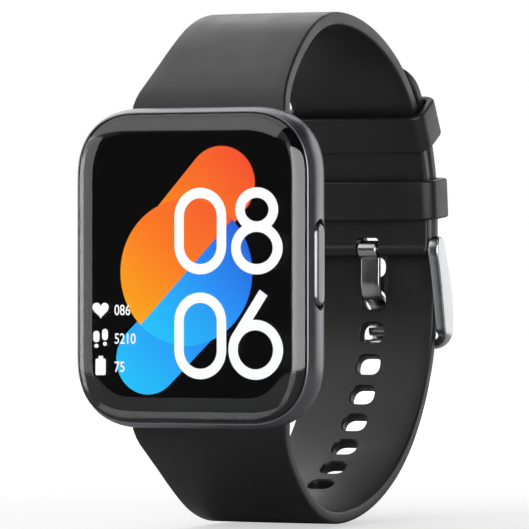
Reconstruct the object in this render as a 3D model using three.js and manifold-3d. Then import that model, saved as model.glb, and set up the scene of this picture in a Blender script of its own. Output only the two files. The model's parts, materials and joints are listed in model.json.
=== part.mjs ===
// A rectangular smartwatch with its silicone strap closed into a loop, in millimetres.
// +Z points to twelve o'clock, -Y out of the display, +X to the side button. The origin is the centre of the
// sensor window's flat outer face, which rests on the wrist. Depths are measured back from the plane of the
// seam between glass and frame, and the whole group is shifted at the end.

import * as THREE from 'three';
import { mergeVertices } from 'three/addons/utils/BufferGeometryUtils.js';
import Module from 'manifold-3d';

const wasm = await Module();
wasm.setup();

// Case: the seam between cover glass and frame, and the frame's bulging side.
const SEAM_HALF_WIDTH = 18.35;
const SEAM_HALF_HEIGHT = 22.4;
const SEAM_CORNER = 9.6;
const CORNER_POWER = 2.4;
const CORNER_STEPS = 7;
const BULGE = 0.85;
const BULGE_DEPTH = 2.6;
const FRONT_SPAN = 3.2;
const FRONT_DROP = 2.05;
const REAR_SPAN = 7.5;
const REAR_DROP = 8.5;
const FRAME_FRONT = -0.3;
const FRAME_BACK = 7.2;
const GLASS_GAP = 0.15;
const GLASS_DOME = 1.1;
const GLASS_EDGE_WIDTH = 3.0;
const LEDGE_DEPTH = 0.45;
const WINDOW_FACE = 9.6;

// Inner cavity of the frame, front part, rear part and the back cover's pocket, as half sizes.
const CAVITY_HALF_WIDTH = 16.5;
const CAVITY_HALF_HEIGHT = 20.5;
const CAVITY_STEP_DEPTH = 3.4;
const REAR_HALF_WIDTH = 15.2;
const REAR_HALF_HEIGHT = 16.4;
const POCKET_HALF_WIDTH = 16.0;
const POCKET_HALF_HEIGHT = 17.2;
const POCKET_DEPTH = 6.3;
const RECESS_FLOOR = 18.2;
const RECESS_FRONT = 3.7;
const SCREW_X = 13.2;
const SCREW_Z = 14.4;

// Strap: the wrist side's path from the case over the top to the buckle, as arcs.
const STRAP_TOP_DEPTH = 29.4;
const STRAP_TOP_HEIGHT = 36.2;
const FRONT_ARCS = [[4, 32], [50, 15], [20.5, 33]];
const CROWN_RADIUS = 38.4;
const CROWN_SWEEP = 30.0;
const BACK_SWEEP = 60.0;
const UPPER_BACK_RADIUS = 26.6;
const LAYER_GAP = 0.6;
const FREE_END_SWEEP = 53.0;
const ROOT_WIDTH = 24.4;
const STRAP_WIDTH = 20.1;
const FLARE_START = 2.6;
const FLARE_LENGTH = 6.0;
const ROOT_THICKNESS = 2.3;
const FRONT_THICKNESS = 1.95;
const UPPER_THICKNESS = 2.0;
const LOWER_THICKNESS = 1.8;
const TIP_LENGTH = 7.0;
const HOLE_PITCH = 5.15;
const HOLES_BEFORE_TONGUE = 7;
const HOLES_AFTER_TONGUE = 3;
const HOLE_HALF_WIDTH = 2.2;
const HOLE_HALF_LENGTH = 1.55;

// Spring bars that hold the strap in the case's recesses.
const BAR_DEPTH = 5.8;
const BAR_HEIGHT = 20.2;
const BAR_RADIUS = 0.75;
const BAR_CLEARANCE = 0.12;
const EYE_RADIUS = 1.7;
const BAR_TUBE_HALF = 11.8;
const TIP_RADIUS = 0.42;
const TIP_REACH = 13.5;
const TIP_HOLE_END = 13.9;
const KNOB_X = 8.3;

// Buckle: pin, frame and tongue, all placed from the pin's axis.
const PIN_HEIGHT = 2.9;
const PIN_RADIUS = 0.6;
const PIN_CLEARANCE = 0.1;
const PIN_EYE_RADIUS = 1.15;
const ARM_INNER_X = 10.5;
const ARM_OUTER_X = 12.15;
const BAR_DROP = 14.7;
const BUCKLE_CORNER = 2.4;
const FAR_BAR_RADIUS = 0.8;
const TONGUE_WIDTH = 3.1;
const KNUCKLE_RADIUS = 1.4;
const TONGUE_THICKNESS = 0.8;
const SLOT_HALF_WIDTH = 1.9;
const SLOT_HALF_HEIGHT = 2.0;

// Keepers: closed bands round both strap layers.
const KEEPER_LENGTH = 6.1;
const KEEPER_WALL = 1.3;
const KEEPER_GAP = 0.4;
const FIXED_KEEPER_ANGLE = 5.5;
const FREE_KEEPER_ANGLE = 29.6;

// Side button.
const BUTTON_DEPTH = 2.95;
const BUTTON_Z = 0.5;
const BUTTON_HALF_LENGTH = 6.0;
const BUTTON_HALF_WIDTH = 1.5;
const BUTTON_FACE_X = 19.3;
const BUTTON_BACK_X = 18.1;
const BUTTON_FLOOR_X = 17.55;
const STEM_RADIUS = 0.8;
const STEM_END_X = 14.6;

const FINISH = {
  case_metal: [0x55565b, 0.34, 0.9],
  cover_glass: [0x08080a, 0.05, 0.0],
  display: [0x050506, 0.3, 0.0],
  adhesive: [0x1b1b1c, 0.8, 0.0],
  silicone: [0x2b2b2e, 0.62, 0.0],
  steel: [0xc4c5c8, 0.22, 1.0],
  black_plastic: [0x19191b, 0.5, 0.0],
  chassis_plastic: [0x2e2e31, 0.6, 0.0],
  circuit_board: [0x123a24, 0.55, 0.1],
  flex_film: [0x8a4a14, 0.45, 0.1],
  tin: [0xb0b1b3, 0.4, 0.9],
  battery_foil: [0x9a9da1, 0.45, 0.7],
  gold: [0xd0a040, 0.25, 1.0],
  magnet: [0x8d8f92, 0.3, 1.0],
  led_lens: [0xd9e8c8, 0.3, 0.0],
  sensor_glass: [0x0c0d0f, 0.08, 0.0],
};

const radians = THREE.MathUtils.degToRad;
const watch = new THREE.Group();

// Solids: three.js geometry in, three.js geometry out.

function toSolid(geometry) {
  const plain = geometry.clone();
  plain.deleteAttribute('normal');
  plain.deleteAttribute('uv');
  const merged = mergeVertices(plain, 1e-4);
  const index = merged.index.array;
  const triangles = [];
  for (let i = 0; i < index.length; i += 3) {
    const [a, b, c] = [index[i], index[i + 1], index[i + 2]];
    if (a !== b && b !== c && c !== a) triangles.push(a, b, c);
  }
  return new wasm.Manifold(new wasm.Mesh({
    numProp: 3,
    vertProperties: new Float32Array(merged.attributes.position.array),
    triVerts: new Uint32Array(triangles),
  }));
}

function toGeometry(solid) {
  const mesh = solid.getMesh();
  const geometry = new THREE.BufferGeometry();
  geometry.setAttribute('position', new THREE.BufferAttribute(new Float32Array(mesh.vertProperties), 3));
  geometry.setIndex(new THREE.BufferAttribute(new Uint32Array(mesh.triVerts), 1));
  geometry.computeVertexNormals();
  return geometry;
}

function addPiece(name, finish, solid) {
  const [color, roughness, metalness] = FINISH[finish];
  const material = new THREE.MeshStandardMaterial({ color, roughness, metalness });
  const mesh = new THREE.Mesh(toGeometry(solid), material);
  mesh.name = name;
  watch.add(mesh);
}

// A box given by its sizes along X, Y and Z and its centre.
function block(sizeX, sizeY, sizeZ, x, y, z) {
  return toSolid(new THREE.BoxGeometry(sizeX, sizeY, sizeZ).translate(x, y, z));
}

// A cylinder along one axis between two coordinates; a and b are its centre on the other two axes in order.
function rod(axis, radius, from, to, a, b, sides = 16) {
  const geometry = new THREE.CylinderGeometry(radius, radius, to - from, sides);
  const middle = (from + to) / 2;
  if (axis === 'x') geometry.rotateZ(-Math.PI / 2).translate(middle, a, b);
  if (axis === 'y') geometry.translate(a, middle, b);
  if (axis === 'z') geometry.rotateX(Math.PI / 2).translate(a, b, middle);
  return toSolid(geometry);
}

function pulled(shape, depth) {
  return new THREE.ExtrudeGeometry(shape, { depth, bevelEnabled: false, curveSegments: 7 });
}

// An outline in X and Z, pulled from one depth to another.
function plate(shape, near, far) {
  return toSolid(pulled(shape, far - near).rotateX(Math.PI / 2).translate(0, far, 0));
}

// An outline in depth and Z, pulled from left to right.
function sideSlab(shape, left, right) {
  const turn = new THREE.Matrix4().set(0, 0, 1, 0, 1, 0, 0, 0, 0, 1, 0, 0, 0, 0, 0, 1);
  return toSolid(pulled(shape, right - left).applyMatrix4(turn).translate(left, 0, 0));
}

// A ring of revolution about an axis parallel to Y, from a closed profile of [radius, depth] points.
function turned(profile, x, z, sides = 32) {
  const points = profile.map(([r, y]) => new THREE.Vector2(r, y));
  if (profile[0][0] > 0) points.push(points[0].clone());
  return toSolid(new THREE.LatheGeometry(points, sides).translate(x, 0, z));
}

// A closed skin through rings that all have the same number of points, with a fan over each end.
function loft(rings) {
  const count = rings[0].length;
  const points = rings.flat();
  const centre = (ring) => ring.reduce((sum, p) => sum.add(p), new THREE.Vector3()).divideScalar(count);
  points.push(centre(rings[0]), centre(rings[rings.length - 1]));
  const last = (rings.length - 1) * count;
  const faces = [];
  for (let j = 0; j < count; j++) {
    const next = (j + 1) % count;
    for (let i = 0; i < last; i += count) {
      faces.push([i + j, i + count + j, i + next], [i + next, i + count + j, i + count + next]);
    }
    faces.push([points.length - 2, j, next], [points.length - 1, last + next, last + j]);
  }
  let volume = 0;
  for (const [a, b, c] of faces) volume += points[a].dot(points[b].clone().cross(points[c]));
  const order = volume > 0 ? faces : faces.map(([a, b, c]) => [a, c, b]);
  const geometry = new THREE.BufferGeometry().setFromPoints(points);
  geometry.setIndex(order.flat());
  return toSolid(geometry);
}

// A rounded rectangle in X and Z, counterclockwise, whose corners are superelliptic quarters.
function roundedOutline(halfWidth, halfHeight, corner, steps = CORNER_STEPS) {
  const quarter = [];
  for (let i = 0; i <= steps; i++) {
    const angle = (i / steps) * (Math.PI / 2);
    const across = corner * Math.cos(angle) ** (2 / CORNER_POWER);
    const up = corner * Math.sin(angle) ** (2 / CORNER_POWER);
    quarter.push([halfWidth - corner + across, halfHeight - corner + up]);
  }
  const back = [...quarter].reverse();
  return [
    ...quarter,
    ...back.map(([x, z]) => [-x, z]),
    ...quarter.map(([x, z]) => [-x, -z]),
    ...back.map(([x, z]) => [x, -z]),
  ];
}

function roundedShape(halfWidth, halfHeight, corner, steps = 4) {
  const outline = roundedOutline(halfWidth, halfHeight, corner, steps);
  return new THREE.Shape(outline.map(([x, z]) => new THREE.Vector2(x, z)));
}

// The case outline moved out by grow, at one depth.
function caseRing(grow, depth) {
  const outline = roundedOutline(SEAM_HALF_WIDTH + grow, SEAM_HALF_HEIGHT + grow, SEAM_CORNER + grow);
  return outline.map(([x, z]) => new THREE.Vector3(x, depth, z));
}

function caseShape(grow) {
  return new THREE.Shape(caseRing(grow, 0).map((p) => new THREE.Vector2(p.x, p.z)));
}

// A flat ring with rounded corners between an outer and an inner half size.
function flatRing(halfWidth, halfHeight, corner, wall, near, far) {
  const outer = plate(roundedShape(halfWidth, halfHeight, corner), near, far);
  const hole = roundedShape(halfWidth - wall, halfHeight - wall, corner - wall / 2);
  return outer.subtract(plate(hole, near - 1, far + 1));
}

// A pill outline lying in depth and Z, pulled along X: the side button's form.
function buttonPill(grow, left, right) {
  const halfWidth = BUTTON_HALF_WIDTH + grow;
  const straight = BUTTON_HALF_LENGTH - BUTTON_HALF_WIDTH;
  const shape = new THREE.Shape();
  shape.absarc(BUTTON_DEPTH, BUTTON_Z + straight, halfWidth, 0, Math.PI, false);
  shape.absarc(BUTTON_DEPTH, BUTTON_Z - straight, halfWidth, Math.PI, 2 * Math.PI, false);
  return sideSlab(shape, left, right);
}

// Case.

// How far the case's side stands out beyond the seam at a depth: an elliptical bulge, fuller in front.
function bulgeAt(depth) {
  const [span, drop] = depth < BULGE_DEPTH ? [FRONT_SPAN, FRONT_DROP] : [REAR_SPAN, REAR_DROP];
  return BULGE - drop * (1 - Math.sqrt(1 - ((depth - BULGE_DEPTH) / span) ** 2));
}

function frameOuter() {
  const depths = [FRAME_FRONT, 0.15, 0.75, 1.55, BULGE_DEPTH, 3.8, 5.0, 6.2, FRAME_BACK];
  return loft(depths.map((depth) => caseRing(bulgeAt(depth), depth)));
}

// The strap's root sits in this recess, cut through the back edge of the frame between two solid lugs.
function strapRecess(side) {
  const height = 6;
  const length = 8;
  const middle = side * (RECESS_FLOOR + height / 2);
  return block(ROOT_WIDTH + 0.6, length, height, 0, RECESS_FRONT + length / 2, middle);
}

function caseFrame() {
  const cavity = roundedShape(CAVITY_HALF_WIDTH, CAVITY_HALF_HEIGHT, 8);
  const pocket = roundedShape(POCKET_HALF_WIDTH, POCKET_HALF_HEIGHT, 5);
  const rearOutline = roundedShape(REAR_HALF_WIDTH, REAR_HALF_HEIGHT, 5);
  let rear = plate(rearOutline, CAVITY_STEP_DEPTH - 1, FRAME_BACK + 1);
  for (const [x, z] of corners(SCREW_X, SCREW_Z)) {
    rear = rear.subtract(rod('y', 1.9, CAVITY_STEP_DEPTH + 0.4, POCKET_DEPTH, x, z));
  }
  let frame = frameOuter();
  frame = frame.subtract(plate(caseShape(0), FRAME_FRONT - 1, LEDGE_DEPTH));
  frame = frame.subtract(plate(cavity, 0, CAVITY_STEP_DEPTH));
  frame = frame.subtract(rear);
  frame = frame.subtract(plate(pocket, POCKET_DEPTH, FRAME_BACK + 1));
  for (const side of [1, -1]) {
    frame = frame.subtract(strapRecess(side));
    frame = frame.subtract(rod('x', 0.55, -TIP_HOLE_END, TIP_HOLE_END, BAR_DEPTH, side * BAR_HEIGHT, 12));
  }
  for (const [x, z] of corners(SCREW_X, SCREW_Z)) {
    frame = frame.subtract(rod('y', 0.6, CAVITY_STEP_DEPTH + 0.8, FRAME_BACK, x, z, 10));
  }
  frame = frame.subtract(buttonPill(0.3, BUTTON_FLOOR_X, 22));
  frame = frame.subtract(rod('x', STEM_RADIUS + 0.15, 14, 21, BUTTON_DEPTH, BUTTON_Z, 20));
  frame = frame.subtract(rod('x', 1.6, 14, CAVITY_HALF_WIDTH, BUTTON_DEPTH, BUTTON_Z, 20));
  const sealSeat = rod('x', 1.45, BUTTON_FLOOR_X - 0.6, BUTTON_FLOOR_X + 0.2, BUTTON_DEPTH, BUTTON_Z, 20);
  return frame.subtract(sealSeat);
}

function corners(x, z) {
  return [[x, z], [-x, z], [-x, -z], [x, -z]];
}

function coverGlass() {
  const rings = [caseRing(-GLASS_GAP, 0.1)];
  const steps = 5;
  for (let i = 0; i <= steps; i++) {
    const angle = (i / steps) * (Math.PI / 2);
    const inset = GLASS_EDGE_WIDTH * (1 - Math.cos(angle));
    rings.push(caseRing(-GLASS_GAP - inset, -0.1 - GLASS_DOME * Math.sin(angle)));
  }
  return loft(rings.reverse());
}

function glassAdhesive() {
  const outer = plate(caseShape(-0.4), 0.15, 0.4);
  return outer.subtract(plate(caseShape(-1.5), 0, 1));
}

function displayPanel() {
  return plate(roundedShape(16.2, 19.8, 7.6, 5), 0.2, 1.2);
}

// The flex leaves the panel's lower edge and folds back to the main board's connector.
function displayFlex() {
  const shape = new THREE.Shape([
    [1.3, -14], [1.3, -17.2], [1.5, -17.8], [2.1, -18.0], [2.55, -17.8], [2.6, -17.2], [2.6, -14],
    [2.45, -14], [2.45, -17.1], [2.35, -17.6], [2.05, -17.8], [1.7, -17.6], [1.5, -17.1], [1.5, -14],
  ].map(([y, z]) => new THREE.Vector2(y, z)));
  return sideSlab(shape, -4, 4);
}

function middleChassis() {
  let chassis = plate(roundedShape(16.2, 20.2, 7.6), 1.35, 2.3);
  chassis = chassis.subtract(plate(roundedShape(9.5, 8, 2), 1, 3));
  chassis = chassis.subtract(block(9, 3, 7, 0, 2, -16.2));
  for (const [x, z] of corners(12.6, 13.5)) chassis = chassis.subtract(rod('y', 0.7, 1, 3, x, z, 10));
  return chassis.subtract(block(7, 3, 5.2, 14.6, 2, BUTTON_Z));
}

function mainBoard() {
  let board = plate(roundedShape(15.9, 19.8, 7.2), 2.7, 3.3);
  for (const [x, z] of corners(12.6, 13.5)) board = board.subtract(rod('y', 0.7, 2, 4, x, z, 10));
  return board.subtract(block(7, 3, 5.2, 14.6, 3, BUTTON_Z));
}

function shieldCan() {
  const can = block(9.0, 1.4, 7.6, 8.6, 4.15, 7.9);
  return can.subtract(block(8.5, 1.3, 7.1, 8.6, 3.85, 7.9));
}

function battery() {
  return plate(roundedShape(8.6, 11.8, 1.6), 3.5, 6.7).translate([-5.4, 0, 0]);
}

function batteryFlex() {
  const shape = new THREE.Shape([
    [4.2, 12.1], [4.2, 13.4], [3.65, 13.4], [3.65, 13.2], [4.0, 13.2], [4.0, 12.1],
  ].map(([y, z]) => new THREE.Vector2(y, z)));
  return sideSlab(shape, -8, -3);
}

function vibrationMotor() {
  return rod('y', 4, 3.6, 6.2, 9.0, -6.6, 24);
}

function sideSwitch() {
  const board = block(2.2, 3.2, 4.4, 12.7, 2.9, BUTTON_Z);
  return board.add(rod('x', 0.6, 13.5, 14.0, BUTTON_DEPTH, BUTTON_Z, 12));
}

// The plastic back carries on the frame's curve, with a rim inside the frame and a raised sensor ring.
function backCover() {
  const rim = [POCKET_HALF_WIDTH - 0.3, POCKET_HALF_HEIGHT - 0.3, 5];
  const skin = [7.3, 7.9, 8.5, 9.0].map((depth) => caseRing(bulgeAt(depth), depth));
  skin.push(caseRing(bulgeAt(9.0) - 0.9, 9.22));
  let cover = loft(skin);
  cover = cover.add(plate(roundedShape(...rim), 6.6, 8.5));
  for (const side of [1, -1]) cover = cover.subtract(strapRecess(side));
  cover = cover.add(turned([[0, 9.0], [11.6, 9.0], [11.0, 9.35], [9.2, 9.52], [0, 9.52]], 0, 0));
  cover = cover.subtract(rod('y', 8.5, 8.7, 10, 0, 0, 32));
  cover = cover.subtract(rod('y', 7.3, 6, 9, 0, 0, 32));
  cover = cover.subtract(plate(roundedShape(14.4, 12.3, 3), 6, 8.1));
  for (const [x, z] of corners(SCREW_X, SCREW_Z)) {
    cover = cover.subtract(rod('y', 0.75, 6, 10, x, z, 12));
    cover = cover.subtract(rod('y', 1.3, 8.4, 10, x, z, 12));
  }
  for (const side of [1, -1]) {
    cover = cover.subtract(rod('y', 1.1, 6, 10, side * 2.2, -14.2, 14));
    cover = cover.subtract(rod('y', 1.75, 6, 8.55, side * 7.2, -14.2, 14));
  }
  return cover;
}

function sensorWindow() {
  return turned([[0, 8.78], [8.2, 8.78], [8.2, 9.42], [7.9, WINDOW_FACE], [0, WINDOW_FACE]], 0, 0);
}

function lightBaffle() {
  const ring = rod('y', 3.4, 8.2, 8.68, 0, 0, 24);
  return ring.subtract(rod('y', 2.9, 8, 9, 0, 0, 24));
}

// One cross-head screw: a flat head on a plain shank.
function backScrew(x, z) {
  const screw = rod('y', 1.15, 8.5, 9.0, x, z, 14).add(rod('y', 0.5, 4.6, 8.7, x, z, 10));
  const slot = block(1.3, 0.5, 0.28, x, 9.0, z).add(block(0.28, 0.5, 1.3, x, 9.0, z));
  return screw.subtract(slot);
}

function buildCase() {
  addPiece('case_frame', 'case_metal', caseFrame());
  addPiece('cover_glass', 'cover_glass', coverGlass());
  addPiece('glass_adhesive', 'adhesive', glassAdhesive());
  addPiece('display_panel', 'display', displayPanel());
  addPiece('display_flex', 'flex_film', displayFlex());
  addPiece('middle_chassis', 'chassis_plastic', middleChassis());
  addPiece('main_board', 'circuit_board', mainBoard());
  addPiece('processor_shield', 'tin', shieldCan());
  addPiece('memory_chip', 'black_plastic', block(4, 0.8, 4.2, 7.6, 3.8, 1.0));
  addPiece('motion_sensor_chip', 'black_plastic', block(2.5, 0.7, 2.5, 3.2, 3.75, 14.0));
  addPiece('battery', 'battery_foil', battery());
  addPiece('battery_flex', 'flex_film', batteryFlex());
  addPiece('vibration_motor', 'tin', vibrationMotor());
  addPiece('side_switch', 'black_plastic', sideSwitch());
  addPiece('back_cover', 'black_plastic', backCover());
  addPiece('back_seal', 'silicone', flatRing(15.85, 17.05, 4.6, 0.45, 6.36, 6.56));
  addPiece('sensor_window', 'sensor_glass', sensorWindow());
  addPiece('sensor_board', 'circuit_board', rod('y', 6.9, 7.6, 8.0, 0, 0, 24));
  addPiece('light_baffle', 'black_plastic', lightBaffle());
  addPiece('photodiode', 'black_plastic', block(2.4, 0.5, 2.4, 0, 8.4, 0));
  addPiece('charge_contact_left', 'gold', chargeContact(-1));
  addPiece('charge_contact_right', 'gold', chargeContact(1));
  for (const [name, side] of [['left', -1], ['right', 1]]) {
    addPiece(`led_module_${name}`, 'led_lens', block(1.6, 0.5, 1.6, side * 4.9, 8.4, 0));
    addPiece(`charge_magnet_${name}`, 'magnet', rod('y', 1.5, 7.45, 8.4, side * 7.2, -14.2, 14));
  }
  corners(SCREW_X, SCREW_Z).forEach(([x, z], i) => addPiece(`back_screw_${i + 1}`, 'steel', backScrew(x, z)));
}

function chargeContact(side) {
  const stem = rod('y', 0.8, 7.5, 9.35, side * 2.2, -14.2, 14);
  return stem.add(rod('y', 1.0, 8.7, 9.35, side * 2.2, -14.2, 14));
}

// Side button: a pill cap on a stem, sealed by an O-ring and held by a clip inside the frame.
function sideButton() {
  const cap = buttonPill(0, BUTTON_BACK_X, BUTTON_FACE_X - 0.25);
  const crown = buttonPill(-0.25, BUTTON_BACK_X, BUTTON_FACE_X);
  const stem = rod('x', STEM_RADIUS, STEM_END_X, BUTTON_BACK_X + 0.2, BUTTON_DEPTH, BUTTON_Z, 16);
  const groove = rod('x', 3, 15.85, 16.25, BUTTON_DEPTH, BUTTON_Z, 16);
  const core = rod('x', 0.55, 15, 17, BUTTON_DEPTH, BUTTON_Z, 16);
  return cap.add(crown).add(stem).subtract(groove.subtract(core));
}

function buttonClip() {
  const disc = rod('x', 1.25, 15.9, 16.2, BUTTON_DEPTH, BUTTON_Z, 18);
  return disc.subtract(rod('x', 0.63, 15, 17, BUTTON_DEPTH, BUTTON_Z, 18));
}

function buttonSeal() {
  const ring = new THREE.TorusGeometry(1.1, 0.24, 8, 20).rotateY(Math.PI / 2);
  return toSolid(ring.translate(BUTTON_FLOOR_X - 0.32, BUTTON_DEPTH, BUTTON_Z));
}

function buildButton() {
  addPiece('side_button', 'case_metal', sideButton());
  addPiece('button_clip', 'steel', buttonClip());
  addPiece('button_seal', 'silicone', buttonSeal());
}

// A path in depth and Z: headings are measured from +Y, and each arc turns towards the wrist.
// A leg is [radius, sweep in degrees], or [length] when it is straight.
function arcPath(start, heading, legs) {
  const pieces = [];
  let point = start;
  let angle = radians(heading);
  for (const leg of legs) {
    const straight = leg.length === 1;
    const length = straight ? leg[0] : leg[0] * radians(leg[1]);
    const curvature = straight ? 0 : 1 / leg[0];
    const piece = { point, angle, curvature, length };
    pieces.push(piece);
    const ended = along(piece, length);
    point = [ended.y, ended.z];
    angle = ended.angle;
  }
  const total = pieces.reduce((sum, piece) => sum + piece.length, 0);
  const at = (s) => {
    let rest = s;
    for (const piece of pieces) {
      if (rest <= piece.length || piece === pieces[pieces.length - 1]) return along(piece, rest);
      rest -= piece.length;
    }
    return null;
  };
  const legStart = (i) => pieces.slice(0, i).reduce((sum, piece) => sum + piece.length, 0);
  return { at, total, legStart };
}

function along({ point, angle, curvature }, s) {
  const heading = angle - s * curvature;
  let y = point[0] + s * Math.cos(angle);
  let z = point[1] + s * Math.sin(angle);
  if (curvature > 0) {
    const radius = 1 / curvature;
    y = point[0] + radius * (Math.sin(angle) - Math.sin(heading));
    z = point[1] - radius * (Math.cos(angle) - Math.cos(heading));
  }
  return { y, z, angle: heading, outY: -Math.sin(heading), outZ: Math.cos(heading) };
}

// The path's start is worked out backwards from the top of the loop, where the heading is level.
const STRAP_START = [STRAP_TOP_DEPTH, STRAP_TOP_HEIGHT];
let startHeading = 0;
for (const [radius, sweep] of [...FRONT_ARCS].reverse()) {
  const before = startHeading + sweep;
  STRAP_START[0] -= radius * (Math.sin(radians(before)) - Math.sin(radians(startHeading)));
  STRAP_START[1] -= radius * (Math.cos(radians(startHeading)) - Math.cos(radians(before)));
  startHeading = before;
}
const CROWN_END_DEPTH = STRAP_TOP_DEPTH + CROWN_RADIUS * Math.sin(radians(CROWN_SWEEP));
const CROWN_END_HEIGHT = STRAP_TOP_HEIGHT - CROWN_RADIUS * (1 - Math.cos(radians(CROWN_SWEEP)));
const BACK_SHARE = 1 - Math.sin(radians(CROWN_SWEEP));
const UPPER_BACK_DEPTH = CROWN_END_DEPTH + UPPER_BACK_RADIUS * BACK_SHARE;
const LOWER_BACK_DEPTH = UPPER_BACK_DEPTH + UPPER_THICKNESS + LAYER_GAP;
const LOWER_BACK_RADIUS = (LOWER_BACK_DEPTH - CROWN_END_DEPTH) / BACK_SHARE;
const UPPER_ARC_END = CROWN_END_HEIGHT - UPPER_BACK_RADIUS * Math.cos(radians(CROWN_SWEEP));
const LOWER_ARC_END = CROWN_END_HEIGHT - LOWER_BACK_RADIUS * Math.cos(radians(CROWN_SWEEP));
const PIN_DEPTH = UPPER_BACK_DEPTH + UPPER_THICKNESS / 2;
const ARC_CENTRE_DEPTH = UPPER_BACK_DEPTH - UPPER_BACK_RADIUS;

const upperPath = arcPath(STRAP_START, startHeading, [
  ...FRONT_ARCS,
  [CROWN_RADIUS, CROWN_SWEEP],
  [UPPER_BACK_RADIUS, BACK_SWEEP],
  [UPPER_ARC_END - PIN_HEIGHT],
]);

// The lower half is worked out the same way up and mirrored, so its straight leg runs on past the buckle.
const lowerPath = arcPath(STRAP_START, startHeading, [
  ...FRONT_ARCS,
  [CROWN_RADIUS, CROWN_SWEEP],
  [LOWER_BACK_RADIUS, BACK_SWEEP],
  [LOWER_ARC_END + UPPER_ARC_END],
  [UPPER_BACK_RADIUS + UPPER_THICKNESS + LAYER_GAP, FREE_END_SWEEP],
]);

function halfWidthAt(s) {
  const flare = Math.exp(-Math.max(0, s - FLARE_START) / FLARE_LENGTH);
  return (STRAP_WIDTH + (ROOT_WIDTH - STRAP_WIDTH) * flare) / 2;
}

function thicknessAt(s, end) {
  if (s < 8) return THREE.MathUtils.lerp(ROOT_THICKNESS, FRONT_THICKNESS, s / 8);
  return THREE.MathUtils.lerp(FRONT_THICKNESS, end, THREE.MathUtils.smoothstep(s, 8, 45));
}

// A strap section: a flat band with eased edges, seen along the strap.
function strapRing(place, halfWidth, thickness, flip) {
  const easeX = Math.min(0.7, halfWidth / 3);
  const easeT = thickness * 0.3;
  const profile = [
    [halfWidth - easeX, 0], [halfWidth - easeX * 0.3, easeT * 0.3], [halfWidth, easeT],
    [halfWidth, thickness - easeT], [halfWidth - easeX * 0.3, thickness - easeT * 0.3],
    [halfWidth - easeX, thickness],
  ];
  const mirrored = [...profile].reverse().map(([x, t]) => [-x, t]);
  return [...profile, ...mirrored].map(
    ([x, t]) => new THREE.Vector3(x, place.y + t * place.outY, flip * (place.z + t * place.outZ)),
  );
}

// The first ring of a strap half lies across the spring bar's eye, turned like the strap's start.
function rootRing(path, flip) {
  const start = path.at(0);
  const thickness = 2.4;
  const place = {
    ...start,
    y: BAR_DEPTH - (thickness / 2) * start.outY,
    z: BAR_HEIGHT - (thickness / 2) * start.outZ,
  };
  return strapRing(place, ROOT_WIDTH / 2, thickness, flip);
}

function strapStations(until, spacing) {
  const stations = [];
  const first = 0.6;
  const count = Math.round((until - first) / spacing);
  for (let i = 0; i <= count; i++) stations.push(first + ((until - first) * i) / count);
  return stations;
}

// The eye round the spring bar, its bore, and the notch that the quick-release knob slides in.
function withBarEye(strap, flip) {
  const z = flip * BAR_HEIGHT;
  const half = ROOT_WIDTH / 2;
  const eye = rod('x', EYE_RADIUS, -half, half, BAR_DEPTH, z, 20);
  const bore = rod('x', BAR_RADIUS + BAR_CLEARANCE, -half - 1, half + 1, BAR_DEPTH, z, 20);
  const notch = block(3.6, 4, 1.3, KNOB_X - 0.6, BAR_DEPTH + 2, z);
  return strap.add(eye).subtract(bore).subtract(notch);
}

function upperStrap() {
  const rings = [rootRing(upperPath, 1)];
  for (const s of strapStations(upperPath.total, 3.2)) {
    rings.push(strapRing(upperPath.at(s), halfWidthAt(s), thicknessAt(s, UPPER_THICKNESS), 1));
  }
  const half = STRAP_WIDTH / 2;
  let strap = withBarEye(loft(rings), 1);
  strap = strap.add(rod('x', PIN_EYE_RADIUS, -half + 0.3, half - 0.3, PIN_DEPTH, PIN_HEIGHT, 20));
  const pinBore = PIN_RADIUS + PIN_CLEARANCE;
  strap = strap.subtract(rod('x', pinBore, -half - 1, half + 1, PIN_DEPTH, PIN_HEIGHT, 16));
  return strap.subtract(block(2 * SLOT_HALF_WIDTH, 6, 2 * SLOT_HALF_HEIGHT, 0, PIN_DEPTH, PIN_HEIGHT));
}

// Distance along the lower path at which the tongue's hole lies, and the holes either side of it.
const TONGUE_HOLE_S = lowerPath.legStart(FRONT_ARCS.length + 2) - 1.5;

function strapHole(s) {
  const place = lowerPath.at(s);
  const hole = plate(roundedShape(HOLE_HALF_WIDTH, HOLE_HALF_LENGTH, 1.5, 4), -2, 5);
  const tilt = THREE.MathUtils.radToDeg(place.angle) + 90;
  return hole.rotate([-tilt, 0, 0]).translate([0, place.y, -place.z]);
}

function lowerStrap() {
  const bandEnd = lowerPath.total - TIP_LENGTH;
  const rings = [rootRing(lowerPath, -1)];
  for (const s of strapStations(bandEnd, 3.2)) {
    rings.push(strapRing(lowerPath.at(s), halfWidthAt(s), thicknessAt(s, LOWER_THICKNESS), -1));
  }
  for (const share of [0.35, 0.65, 0.85, 0.96, 1]) {
    const halfWidth = Math.max(1.5, (STRAP_WIDTH / 2) * (1 - share ** CORNER_POWER) ** (1 / CORNER_POWER));
    const thickness = LOWER_THICKNESS * (1 - 0.45 * share ** 4);
    rings.push(strapRing(lowerPath.at(bandEnd + share * TIP_LENGTH), halfWidth, thickness, -1));
  }
  let strap = withBarEye(loft(rings), -1);
  for (let i = -HOLES_BEFORE_TONGUE; i <= HOLES_AFTER_TONGUE; i++) {
    strap = strap.subtract(strapHole(TONGUE_HOLE_S + i * HOLE_PITCH));
  }
  return strap;
}

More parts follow.
